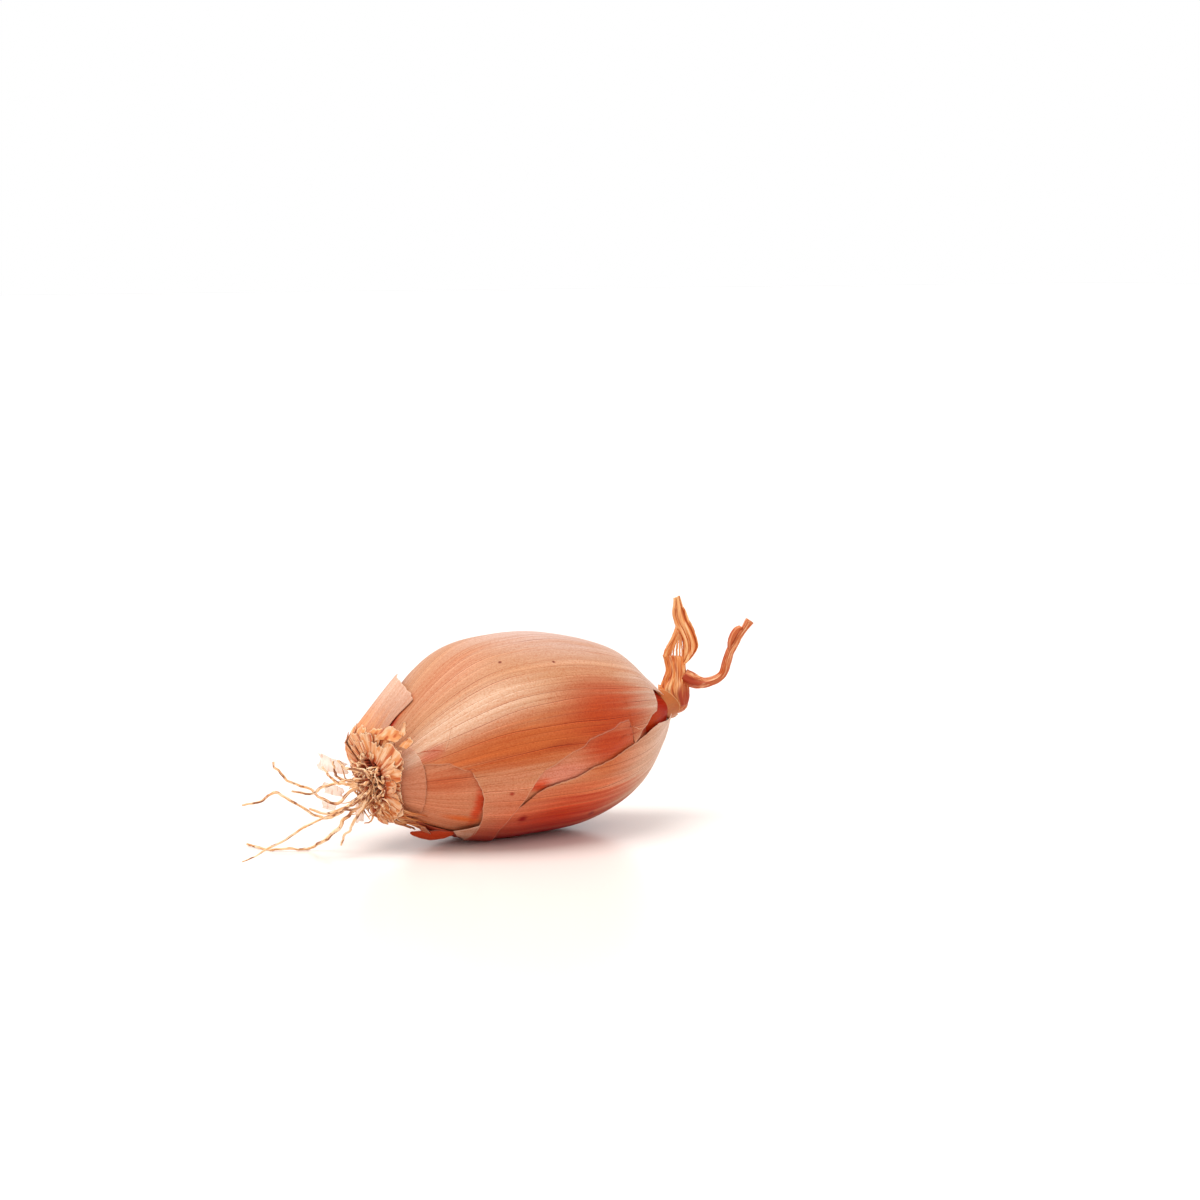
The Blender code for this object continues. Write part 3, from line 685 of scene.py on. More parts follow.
def outer_skin_material(colours):
    """Outermost dry skin of a copper shallot: papery and satin, pale where dry, flushed near the neck, with
    painted highlight on the pale flank, painted sheen on the top and round the neck, and painted shade on the
    underside.
    """
    speck = "#6E2410"
    zones = (
        # Greyer pink over the top: partly a painted sheen.
        (44, 4, 26, 42, "#C2A294", 0.85),
        # Pale flank: the skin's own cream, partly a painted highlight of the broad gloss band.
        (12, 57, 27, 19, colours.skin_pale_and_highlight, 0.95),
        (26, 84, 40, 24, colours.skin_orange, 0.95),
        (20, 118, 13, 27, "#C47C5A", 1.0),
        (38, 120, 24, 17, "#C86A40", 0.9),
        (47, 74, 18, 31, colours.skin_flush, 0.95),
        (48, 104, 16, 13, "#B6561E", 0.8),
        # Grey beige low on the front by the neck: partly a painted sheen.
        (66, 118, 22, 40, "#C8A38A", 0.95),
        # Deep red low on the front and on the underside, in this zone and the next: the skin's own red with
        # painted shade.
        (36, 136, 22, 17, "#BE3A08", 0.95),
        (33, 168, 44, 47, colours.skin_belly_and_shade, 1.0),
        # Grey rose bloom round the neck: partly a painted sheen.
        (75, 35, 22, 90, colours.skin_bloom_and_sheen, 0.95),
        # Beside the flap, under the root end, and round the long tear.
        # Beside the flap, orange and then dark red in the gap under its edge: the inner skin's colour with
        # painted shade.
        (7, 6, 3.6, 6, "#CE4E0E", 1.0),
        (4.4, 5, 1.8, 7, "#9C1C08", 1.0),
        (14, 20, 14, 24, "#C88464", 0.4),
        # Dark red along the bottom edge under the root end: painted shade.
        (9, 172, 9, 17, "#A6220C", 0.95),
        (6.3, 70, 3.2, 9, "#BC5A44", 0.6),
        (33, 88, 6, 3.5, "#9E3A14", 0.45),
        (43, 87, 4, 2.5, "#8A2008", 0.4),
        # The back.
        (38, 212, 34, 34, "#A83A14", 0.85),
        (34, 244, 40, 18, colours.skin_orange, 0.7),
        (46, 276, 18, 26, "#AE4A22", 0.7),
        (20, 300, 26, 20, colours.skin_pale_and_highlight, 0.6),
        # Small bruises and specks.
        (24.8, 134, 1.5, 5, "#8A0400", 1.0),
        (44, 141, 1.2, 4, "#7E0C0C", 0.8),
        (20.5, 112, 0.8, 2.2, "#9A2E1A", 0.9),
        (26.2, 32, 0.55, 1.3, speck, 1.0),
        (38.1, 39.5, 0.5, 1.2, speck, 1.0),
    )
    return skin_material("dry_copper_shallot_skin", colours.skin, zones, roughness=0.42)


def second_skin_material(colours):
    """Next dry skin: rosier, more evenly coloured and a little duller, because it was covered."""
    zones = (
        (8, 98, 9, 13, "#B4552C", 0.8),
        (8, 142, 8, 14, "#D08A66", 0.7),
        (12, 137, 5, 5, "#D2601E", 0.85),
        # Dark red low in the window, at the bottom edge: painted shade.
        (8, 168, 10, 12, "#A01808", 1.0),
        # Orange red strip along the tongue's root side: painted shadow of its lifted edge.
        (14.6, 122, 1.5, 30, "#C03A0C", 0.9),
        (33, 106, 11, 11, colours.lilac, 0.9),
        (27.2, 111, 3.6, 6, "#BE4420", 1.0),
        (46, 92, 12, 18, "#B03A0C", 0.95),
        (60, 84, 10, 17, colours.inner_red, 1.0),
    )
    return skin_material("dry_rose_shallot_skin", "#C27A56", zones, roughness=0.44, vein_strength=0.7,
                         rim=0.0)


def inner_skin_material(colours):
    """Inner skin that still lies tight on the flesh: deep orange red, smooth, with hardly a vein."""
    zones = ((62, 84, 8, 8, colours.inner_orange, 0.5),)
    return skin_material("glossy_inner_shallot_skin", colours.inner_red, zones, roughness=0.42,
                         vein_strength=0.3, rim=0.0, specular=0.02)


def clear_skin_material():
    """A film of skin so thin that the rose skin shows through: dull rose, greyer at the top."""
    zones = ((2, 62, 7, 20, "#D2AC92", 0.95), (2, 138, 6, 22, "#C98560", 0.7))
    return skin_material("clear_shallot_skin_film", "#BE7A5A", zones, roughness=0.5, vein_strength=0.5,
                         rim=0.3)


def flap_skin_material():
    """Lifted skin with light on both its sides: pinker and paler than where it lies on the bulb."""
    zones = ((11, -30, 9, 40, "#D2AA90", 0.7), (-3, -20, 9, 60, "#D48A54", 0.9))
    return skin_material("lifted_shallot_skin", "#C4957C", zones, roughness=0.46, vein_strength=0.6,
                         rim=0.3)


def scrap_material():
    """Underside of a curled scrap of inner skin: dark red, with a dry orange rim."""
    return skin_material("curled_red_skin_scrap", "#C2441E", (), roughness=0.4, vein_strength=0.3, rim=0.5)


def fibrous_material(name, roughness, specular, base, fields, layers, bump):
    """A dry surface whose looks follow noises drawn out along its grain.

    fields are the noises by name: (across mm, lengthwise mm, detail, offset). layers are (colour, the field
    or carried value it follows, start, full, strength). bump is (field, strength, height mm).
    """
    material, tree, shader = new_material(name, roughness, specular)
    grain = add(tree, "Attribute", out="Vector", attribute_name="grain")
    values = {name: add(tree, "Attribute", out="Fac", attribute_name=name) for name in ("edge", "fold")}
    for field, (across, lengthwise, detail, offset) in fields.items():
        values[field] = streak_field(tree, grain, across * MM, lengthwise * MM, detail, offset)
    tone = base
    for over, field, start, full, strength in layers:
        tone = lay_over(tree, tone, over, values[field], start, full, strength)
    finish_surface(tree, shader, tone, values[bump[0]], bump[1], bump[2] * MM)
    return material


def hairline_material(name, tone):
    """The very edge of a film of skin, a dried split in one, or a thin loose scrap: thin, uneven, satin."""
    return fibrous_material(
        name, 0.5, 0.3, tone, {"uneven": (0.5, 2, 2.0, (0, 0, 0))},
        (("#D89A74", "uneven", 0.5, 0.3, 0.5),), ("uneven", 0.2, 0.03))


def frill_material(colours, name="brittle_skin_ends"):
    """Brittle ends of the dry skins: orange at the plate, cream crests that are a painted highlight, a deep
    tone in the folds that is painted shade, and brown where broken.

    The grain runs across, by seed, and out from the plate.
    """
    material, tree, shader = new_material(name, roughness=0.6, specular=0.3)
    grain = add(tree, "Attribute", out="Vector", attribute_name="grain")
    edge = add(tree, "Attribute", out="Fac", attribute_name="edge")
    fold = add(tree, "Attribute", out="Fac", attribute_name="fold")
    fibres = streak_field(tree, grain, 0.35 * MM, 5 * MM, 3.0)
    blotches = streak_field(tree, grain, 1.6 * MM, 2.6 * MM, 3.0, (2.2, 4.1, 0))
    out_from_plate = add(tree, "SeparateXYZ", {0: grain}, "Z")
    tone = lay_all(tree, colours.frill_deep_and_shade, (
        (colours.frill, out_from_plate, 0.3 * MM, 2.8 * MM, 1.0),
        (colours.cream, blotches, 0.45, 0.66, 0.8),
        # Painted highlight on the fold crests and painted shade in the fold valleys.
        (colours.cream, fold, 0.15, 0.8, 0.6),
        (colours.frill_deep_and_shade, fold, -0.1, -0.7, 0.85),
        ("#D98A50", fibres, 0.48, 0.3, 0.6),
        (colours.frill_brown, fibres, 0.3, 0.22, 0.6),
        ("#F6DDBA", edge, 0.5, 0.85, 0.4),
        (colours.frill_brown, edge, 0.93, 1.0, 0.8),
    ))
    finish_surface(tree, shader, tone, fibres, strength=0.5, distance=0.12 * MM)
    return material


def plate_material(colours):
    """Corky root plate: dark brown, matt and pitted where roots broke off."""
    material, tree, shader = new_material("corky_root_plate", roughness=0.85, specular=0.3)
    place = add(tree, "TexCoord", out="Object")
    lumps = add(tree, "TexNoise", {"Vector": place, "Scale": 900.0, "Detail": 4.0})
    pits = add(tree, "TexVoronoi", {"Vector": place, "Scale": 1400.0}, "Distance")
    tone = lay_all(tree, colours.root_dark_and_shade, (
        (colours.root_brown, lumps, 0.4, 0.7, 1.0),
        (colours.root_dark_and_shade, pits, 0.25, 0.05, 1.0),
    ))
    finish_surface(tree, shader, tone, lumps, strength=0.8, distance=0.3 * MM)
    return material


def root_material(colours, name, shade_reach):
    """Dried fibrous roots: straw with brown shrunken stretches, dark at the plate as painted shade of the
    root mat's heart, matt and grooved.

    A root's edge value runs from 0 at the plate to 1 at its tip, and the reach given says how far that
    painted shade goes.
    """
    fields = {"grooves": (0.2, 3, 2.0, (0, 0, 0)), "stretches": (0.8, 2.2, 2.0, (1.1, 0, 0))}
    return fibrous_material(name, 0.7, 0.3, colours.root, fields, (
        ("#FCE0BC", "grooves", 0.42, 0.64, 1.0),
        (colours.root_brown, "stretches", 0.5, 0.64, 0.9),
        ("#A85A30", "grooves", 0.44, 0.32, 0.8),
        # Painted shade of the root mat's heart, darkening each root towards the plate.
        ("#A8401A", "edge", 0.9 * shade_reach, 0.35 * shade_reach, 1.0),
        (colours.root_dark_and_shade, "edge", 0.6 * shade_reach, 0.0, 1.0),
    ), ("grooves", 0.6, 0.1))


def stem_material(name, light, main, deep, rust):
    """Shrivelled leaf stem: pale ribs, a painted highlight on the fold crests and painted shade in the deep
    rust tone in the furrows, satin where the leaf is still smooth.

    The edge value gives how stained with rust a place is.
    """
    fields = {
        "ribs": (0.6, 9, 2.0, (0.6, 0.2, 0)),
        "fibres": (0.3, 5, 3.0, (2.6, 0.2, 0)),
        "patches": (2.4, 4, 3.0, (0.1, 3.2, 0)),
    }
    return fibrous_material(name, 0.5, 0.35, main, fields, (
        (light, "ribs", 0.46, 0.66, 0.8),
        ("#C25A1C", "patches", 0.6 - rust, 0.8 - rust, 0.8),
        # Painted highlight on the fold crests and painted shade in the furrows.
        (light, "fold", 0.15, 0.8, 0.5),
        (deep, "fold", -0.3, -1.0, 0.7),
        ("#B0420E", "fibres", 0.48, 0.38, 0.8),
        ("#FAD0A0", "fibres", 0.55, 0.66, 0.6),
        (deep, "edge", 0.15, 0.9, 0.95),
    ), ("fibres", 0.5, 0.12))


def collar_material(colours):
    """Rounded scrap of dried skin at the neck: tan, matt, with a pale rim."""
    fields = {"fibres": (0.4, 5, 3.0, (0, 0, 0)), "blotches": (1.5, 2.2, 2.0, (5, 0, 0))}
    return fibrous_material("tan_neck_scrap", 0.55, 0.3, colours.tan, fields, (
        ("#A35C2A", "fibres", 0.5, 0.3, 0.7),
        ("#A8501F", "blotches", 0.52, 0.7, 0.6),
        ("#E3B07C", "edge", 0.6, 1.0, 0.8),
    ), ("fibres", 0.4, 0.1))


def floor_material(colours):
    """Smooth lacquered board: almost white, with a blurred sheen that takes up what stands on it."""
    material, _, shader = new_material("white_lacquered_board", roughness=0.2, specular=0.3)
    shader.inputs["Base Color"].default_value = colours.floor
    return material


# ---------------------------------------------------------------- pieces


def settings(context):
    scene = context.scene
    return scene.shallot_sizes, scene.shallot_colours


class SHALLOT_OT_inner_skin(bpy.types.Operator):
    """The fleshy bulb in its closed inner skin"""
    bl_idname = "shallot.inner_skin"
    bl_label = "Inner Skin"

    def execute(self, context):
        sizes, colours = settings(context)
        depth = sizes.inner_skin_depth
        first, last, closing = 0.3 * MM, BULB_LENGTH, 0.03

        def place(u, v):
            angle = 360 * u
            distance = mix(first, last, min(max((v - closing) / (1 - 2 * closing), 0), 1))
            shrink = min(v, 1 - v) / closing
            radius = max(bulb_radius(distance) + relief(distance, angle, sizes) - depth, 0.3 * MM)
            return (settle(round_axis(distance, angle, radius * min(shrink, 1)), depth),
                    skin_grain(distance, angle), 0.0)

        sheet_piece(context, "bulb_inner_skin", place, (96, 100), inner_skin_material(colours),
                    ["bulb"], closed=True)
        return {"FINISHED"}


class SHALLOT_OT_second_skin(bpy.types.Operator):
    """The rose skin that shows through the window and the tear"""
    bl_idname = "shallot.second_skin"
    bl_label = "Second Skin"

    def execute(self, context):
        sizes, colours = settings(context)
        first, last, upper, lower = 0.6, 58.5, 60, 170

        def depth_at(distance_mm, angle):
            """Deep in the window, flush with the outer skin along the crack, and deepest at its end."""
            crack = along(UPPER_EDGE, distance_mm)
            width = max(along(LOWER_EDGE, distance_mm) - crack, 4)
            across = (angle - crack) / width
            flush = smoothstep(29, 44, distance_mm) * (1 - smoothstep(53.2, 55, distance_mm))
            flush *= smoothstep(-0.12, 0, across) * (1 - smoothstep(0.55, 1, across))
            depth = mix(sizes.second_skin_depth, sizes.crack_depth, flush)
            return mix(depth, sizes.inner_skin_depth, smoothstep(55, last, distance_mm))

        def place(u, v):
            spot = mix(first, last, v), mix(upper, lower, u)
            puff = 0.1 * MM * rough(spot[0], 5, 2) * math.sin(math.pi * u) * (1 - smoothstep(25, 30, spot[0]))
            return *skin_spot(spot, puff - depth_at(*spot), sizes), 0.0

        sheet_piece(context, "second_dry_skin", place, (132, 150), second_skin_material(colours),
                    ["second_skin"], sizes.skin_thickness)
        return {"FINISHED"}


def skin_stations():
    """Distances in mm where the outer skin has its rows: before the tongue, along its root, and after it."""
    root_side = [mix(0.8, TONGUE_START, i / 20) for i in range(20)]
    tongue = [mix(TONGUE_START, TONGUE_END, i / 30) for i in range(30)]
    neck_side = [mix(TONGUE_END, SKIN_END, i / 100) for i in range(101)]
    return root_side, tongue, neck_side


class SHALLOT_OT_outer_skin(bpy.types.Operator):
    """The torn outer skin: the upper sheet, the tongue that hangs from it, and the lower sheet"""
    bl_idname = "shallot.outer_skin"
    bl_label = "Outer Skin"

    def execute(self, context):
        sizes, colours = settings(context)
        root_side, tongue, neck_side = skin_stations()
        stations = root_side + tongue + neck_side
        hidden_seam = 200

        def torn(edge_points, lifts, distance_mm, seed):
            """Angle of a torn edge and how far it stands up: straight at the tongue and the crack's end."""
            off_tongue = max(TONGUE_START - distance_mm, distance_mm - TONGUE_END)
            off_crack_end = abs(distance_mm - CRACK_END) - 1
            raggedness = smoothstep(0.4, 2, off_tongue) * smoothstep(0, 1.5, off_crack_end)
            wander = 0.6 * rough(distance_mm, 2.3, seed) + 0.3 * rough(distance_mm, 0.8, seed + 1)
            return along(edge_points, distance_mm) + raggedness * wander, along(lifts, distance_mm) * MM

        def beside_tear(distance_mm, angle, edge_angle, stand):
            gap = abs(edge_angle - angle) * math.radians(1) * bulb_radius(distance_mm * MM)
            point, grain = skin_spot((distance_mm, angle), stand * fading(gap, 1.1 * MM), sizes)
            return point, grain, fading(gap, 0.3 * MM)

        def upper(u, v):
            distance_mm = stations[round(v * (len(stations) - 1))]
            edge_angle, stand = torn(UPPER_EDGE, UPPER_EDGE_LIFT_MM, distance_mm, 1)
            angle = mix(hidden_seam - 360, edge_angle, u)
            point, grain, worn = beside_tear(distance_mm, angle, edge_angle, stand)
            return point, grain, 0.0 if TONGUE_START <= distance_mm <= TONGUE_END else worn

        def lower(u, v):
            distance_mm = stations[round(v * (len(stations) - 1))]
            edge_angle, stand = torn(LOWER_EDGE, LOWER_EDGE_LIFT_MM, distance_mm, 4)
            point, grain, worn = beside_tear(distance_mm, mix(edge_angle, hidden_seam, u), edge_angle, stand)
            return point, grain, worn * smoothstep(20, 30, distance_mm)

        root_edge, neck_edge = vectors(TONGUE_ROOT_SIDE), vectors(TONGUE_NECK_SIDE)

        def hanging(u, v):
            side_a, side_b = smooth_through(neck_edge, v), smooth_through(root_edge, v)
            spot = mix(side_a, side_b, u)
            width = abs(side_b.x - side_a.x) * MM
            spot.x += 0.3 * rough(v, 0.07, 3) * (abs(2 * u - 1) ** 3) * smoothstep(0, 0.12, v)
            from_neck_side, from_root_side = u * width, (1 - u) * width
            lift_mm = (0.2 + 0.45 * fading(from_root_side, 1.2 * MM) + 0.15 * fading(from_neck_side, 0.9 * MM)
                       + 0.3 * smoothstep(0.6, 1, v))
            near = min(from_root_side, from_neck_side, (1 - v) * 20 * MM)
            worn = fading(near, 0.3 * MM) * smoothstep(0, 0.1, v)
            return *skin_spot(spot, smoothstep(0, 0.35, v) * lift_mm * MM, sizes), worn

        bm = new_bmesh()
        add_sheet(bm, upper, 150, len(stations) - 1)
        add_sheet(bm, lower, 60, len(stations) - 1)
        add_sheet(bm, hanging, len(tongue), 56)
        bmesh.ops.remove_doubles(bm, verts=bm.verts[:], dist=SEAM_WELD)
        finish_piece(context, "torn_outer_skin", bm, outer_skin_material(colours),
                     ["outer_skin"], sizes.skin_thickness)
        return {"FINISHED"}


class SHALLOT_OT_skin_scraps(bpy.types.Operator):
    """The clear film, hairlines, lifted flap, folded corner, crescent, loose scraps, flake and throat"""
    bl_idname = "shallot.skin_scraps"
    bl_label = "Skin Scraps"

    def execute(self, context):
        sizes, colours = settings(context)
        self.film(context, sizes)
        self.hairlines(context, sizes, "pale_skin_edges", PALE_HAIRLINES, 0.06 * MM,
                       hairline_material("clear_skin_edge", "#DFAE8C"))
        self.hairlines(context, sizes, "dried_skin_splits", RED_HAIRLINES, 0.055 * MM,
                       hairline_material("dried_skin_split", colours.skin_flush))
        self.flap(context, sizes)
        self.folded_corner(context, sizes)
        self.crescent(context, sizes)
        self.loose_scraps(context)
        self.underside_flake(context, sizes)
        self.throat(context, sizes)
        return {"FINISHED"}

    @staticmethod
    def hairlines(context, sizes, name, lines, thickness, material):
        """Fine strands on the skin along lines of (distance in mm, angle)."""
        bm = new_bmesh()
        for number, line in enumerate(lines):
            stops = vectors(line)
            count = 8 * (len(stops) - 1) + 1
            points, radii = [], []
            for k in range(count):
                t = k / (count - 1)
                spot = smooth_through(stops, t)
                points.append(on_skin(spot.x * MM, spot.y + 0.5 * rough(k, 4, number), 0.05 * MM, sizes))
                swell = 0.3 + 0.7 * math.sin(math.pi * t)
                radii.append(thickness * swell * (1 + 0.4 * rough(k, 3, number + 9)))
            add_strand(bm, points, radii, sides=6, seed=number)
        finish_piece(context, name, bm, material)

    @staticmethod
    def film(context, sizes):
        """The clear remnant beside the root end, which lies on the outer skin and over the window."""
        first, lift = 0.4, 0.1 * MM

        def place(u, v):
            angle = mix(FILM_EDGE[0][0], FILM_EDGE[-1][0], u)
            reach = along(FILM_EDGE, angle) + 0.1 * rough(angle, 6, 5)
            distance = mix(first, reach, v)
            return *skin_spot((distance, angle), lift, sizes), 0.7 * fading(reach - distance, 0.18)

        sheet_piece(context, "clear_skin_film", place, (70, 20), clear_skin_material(),
                    ["skin_remnant"], sizes.skin_thickness)

    @staticmethod
    def flap(context, sizes):
        """Outer skin that tore free round the back and top, and stands off there like part of a cone."""
        root_side, slope_end, cut_back = -2.8, 12.0, 4
        root_radius, end_radius = 11.6, 19.2
        first = FLAP_EDGE[0][0]
        last, corner = FLAP_EDGE[-1]

        def place(u, v):
            angle = mix(first, last, u)
            reach = along(FLAP_EDGE, angle) + 0.22 * rough(angle, 3.5, 6) + 0.1 * rough(angle, 1.1, 7)
            distance = mix(root_side + cut_back * (1 - smoothstep(0, 0.3, u)), reach, v)
            cone = mix(root_radius, end_radius, (distance - root_side) / (slope_end - root_side))
            close = bulb_radius(max(distance, 0) * MM) / MM + 0.3 + 0.03 * (corner - distance)
            radius = mix(cone, close, smoothstep(-28, last, angle))
            rib = 0.12 * rough(angle, 3.2, 11) + 0.3 * rough(angle, 14, 7) * math.sin(math.pi * v)
            curve_in = 9.5 * (1 - smoothstep(2.5, 8.6, distance)) * u ** 3
            near = min(reach - distance, (1 - u) * (last - first) * 0.22)
            point = round_axis(distance * MM, angle - curve_in, (radius + rib) * MM)
            return point, skin_grain(distance * MM, angle), fading(max(near, 0), 0.3)

        sheet_piece(context, "lifted_flap", place, (84, 56), flap_skin_material(),
                    ["lifted_skin_flap"], sizes.skin_thickness)

    @staticmethod
    def folded_corner(context, sizes):
        """The tongue's lowest corner, folded back towards the root end."""
        corners = vectors(FOLDED_CORNER)

        def place(u, v):
            lift = 0.6 * MM + 0.5 * MM * math.sin(math.pi * v) * (1 - u)
            return *skin_spot(patch(corners, u, v), lift, sizes), fading(min(u, v, 1 - v), 0.06)

        sheet_piece(context, "folded_corner", place, (18, 18), flap_skin_material(),
                    thickness=sizes.skin_thickness)

    @staticmethod
    def loose_scraps(context):
        """Thin pale scraps of skin behind the root mat and hanging under it."""
        bm = new_bmesh()
        for number, (sideways, towards, height, width, rise) in enumerate(LOOSE_SCRAPS_MM):
            middle = facing_view(sideways, towards, height)

            def place(u, v, middle=middle, width=width, rise=rise, seed=number * 5):
                across = (u - 0.5) * width * (1 + 0.25 * rough(v, 0.5, seed))
                upward = (v - 0.5) * rise * (1 + 0.25 * rough(u, 0.4, seed + 1)) * (1 - 0.25 * u)
                bend = 0.5 * rough(u, 0.6, seed + 2) + 0.5 * rough(v, 0.5, seed + 3)
                spot = SIDEWAYS * across + TOWARDS * bend + Vector((0, 0, upward - 0.28 * across))
                worn = max(abs(2 * u - 1), abs(2 * v - 1)) ** 8
                return middle + spot * MM, Vector((across, seed, upward)) * MM, worn

            add_sheet(bm, place, 20, 16)
        finish_piece(context, "loose_skin_scraps", bm, hairline_material("thin_pale_skin_scraps", "#FFF0E4"),
                     thickness=0.1 * MM)

    @staticmethod
    def underside_flake(context, sizes):
        """A thin flake that lies on the skin under the root end."""
        corners = vectors(UNDERSIDE_FLAKE)

        def place(u, v):
            worn = max(abs(2 * u - 1), abs(2 * v - 1)) ** 6
            return *skin_spot(patch(corners, u, v), (0.8 + 0.3 * u) * MM, sizes), worn

        film = bpy.data.materials["clear_shallot_skin_film"]
        sheet_piece(context, "underside_flake", place, (10, 10), film, thickness=0.1 * MM)

    @staticmethod
    def throat(context, sizes):
        """The outer skin's end, gathered round the back and underside of the neck."""
        first, last, start, end = 125, 352, 71.5, 77.6
        neck_offset = 2.0

        def place(u, v):
            angle = mix(first, last, u)
            ragged = 0.5 * rough(angle, 12, 2) + 0.35 * rough(angle, 3.5, 3)
            distance = mix(start, end + ragged, v)
            drawn_in = smoothstep(72.5, 77, distance)
            pleat = 0.3 * rough(angle, 9, 5) + 0.16 * rough(angle, 4, 6)
            under = min(distance, SKIN_END) * MM
            radius = (bulb_radius(distance * MM) + relief(under, angle, sizes)) / MM
            radius += (pleat - 0.1) * drawn_in - 0.1
            point = round_axis(distance * MM, angle, radius * MM) - TOWARDS * neck_offset * drawn_in * MM
            return point, skin_grain(distance * MM, angle), v ** 8

        skin = bpy.data.materials["dry_copper_shallot_skin"]
        sheet_piece(context, "gathered_skin_throat", place, (150, 24), skin,
                    thickness=sizes.skin_thickness)

    @staticmethod
    def crescent(context, sizes):
        """A curled scrap of red skin that hangs below the root end."""
        middle = from_plate(CRESCENT_MIDDLE_MM)
        long_side, width, rise, lowest = 9.4 * MM, 2.3 * MM, 0.6 * MM, 0.3 * MM

        def place(u, v):
            bend = math.sin(math.pi * v) ** 0.7
            across = (u - 0.5) * width * (0.15 + 0.85 * bend) + 0.1 * MM * rough(v, 0.15, 8)
            cup = 0.4 * MM * math.cos(math.pi * (u - 0.5)) * bend
            point = (middle + SIDEWAYS * ((v - 0.5) * long_side) + CRESCENT_UP * (across + rise * (1 - bend))
                     + FRONT * cup)
            point.z = max(point.z, lowest)
            return point, Vector((u * width, 0, v * long_side)), fading(min(u, 1 - u), 0.06)

        sheet_piece(context, "dark_crescent", place, (12, 36), scrap_material(),
                    ["underside_scrap"], sizes.skin_thickness)


# The frill is a cone from the root plate out to its rim.
FRILL_ROOT_RADIUS, FRILL_ROOT_DISTANCE = 5.0, -1.5
# Its broad flakes: corners as (angle, reach along the cone), two next to the plate and two at the rim in
# the same order, then how far each stands off in mm and how much its rim curls.
FRILL_FLAKES = (
    (((15, 0.75), (41, 1.1), (22, 1.42), (42, 1.56)), 0.35, 0.3),
    (((37, 1.4), (43, 1.5), (34, 1.95), (41, 1.85)), 0.5, 0.9),
    (((46, 1.1), (54, 1.3), (46, 1.66), (53, 1.8)), 0.25, 0.5),
    (((36, 0.25), (62, 0.2), (31, 1.0), (67, 1.12)), 0.55, 0.45),
    (((56, 0.1), (82, 0.1), (68, 0.86), (88, 0.8)), 0.45, 0.35),
    (((78, 0.1), (108, 0.1), (84, 0.62), (104, 0.52)), 0.6, 0.5),
    (((100, 0.1), (128, 0.1), (102, 0.55), (116, 0.76)), 0.35, 0.4),
    (((112, 0.1), (136, 0.15), (116, 1.0), (142, 0.86)), 0.55, 0.35),
    (((134, 0.2), (158, 0.2), (138, 0.9), (158, 0.8)), 0.5, 0.3),
)
# Ends of skin behind and between them: (angle, half width in degrees, reach, how far it stands off, curl).
FRILL_LOBES = (
    (-92, 13, 1.3, 0.6, 0.3), (-76, 12, 1.5, 0.7, 0.1), (-62, 11, 1.55, 0.8, 0.0), (-50, 9, 1.6, 0.9, 0.0),
    (-38, 9, 1.2, 0.4, 0.1), (-24, 9, 1.3, 0.3, 0.0), (-13, 8, 1.05, 0.4, 0.1), (-3, 8, 1.28, 0.3, 0.0),
    (7, 8, 1.0, 0.5, 0.1), (15, 8, 1.2, 0.2, 0.1), (-30, 7, 0.62, 0.7, 0.3), (-52, 8, 0.6, 0.8, 0.3),
    (168, 11, 1.05, 0.1, 0.1), (184, 12, 1.1, 0.3, 0.2), (203, 13, 1.0, 0.2, 0.3), (226, 13, 0.95, 0.45, 0.4),
    (247, 12, 1.0, 0.25, 0.3),
)


def frill_rim(angle):
    """Radius and distance of the frill's outer rim, in mm, round the root end."""
    turn = math.radians(angle)
    above, below, ahead = max(0, math.cos(turn)), max(0, -math.cos(turn)), max(0, math.sin(turn))
    radius = 10.0 + 1.2 * above - 0.3 * below
    distance = 0.4 - 3.4 * above * (1 - ahead) ** 2 + 0.7 * ahead
    return radius, distance


def on_frill(angle, t, stand=0.0):
    """A point on the cone from the root plate (t = 0) to the frill's rim (t = 1), stood off to the roots.

    Past the rim the frill bends back over the bulb.
    """
    radius, distance = frill_rim(angle)
    inside, beyond = min(t, 1), max(t - 1, 0)
    run = radius - FRILL_ROOT_RADIUS
    lean, bend_back, spread = 0.25, 0.65, 0.75
    return round_axis((mix(FRILL_ROOT_DISTANCE, distance, inside) + bend_back * run * beyond - stand) * MM,
                      angle, (FRILL_ROOT_RADIUS + run * (inside + spread * beyond) + stand * lean) * MM)


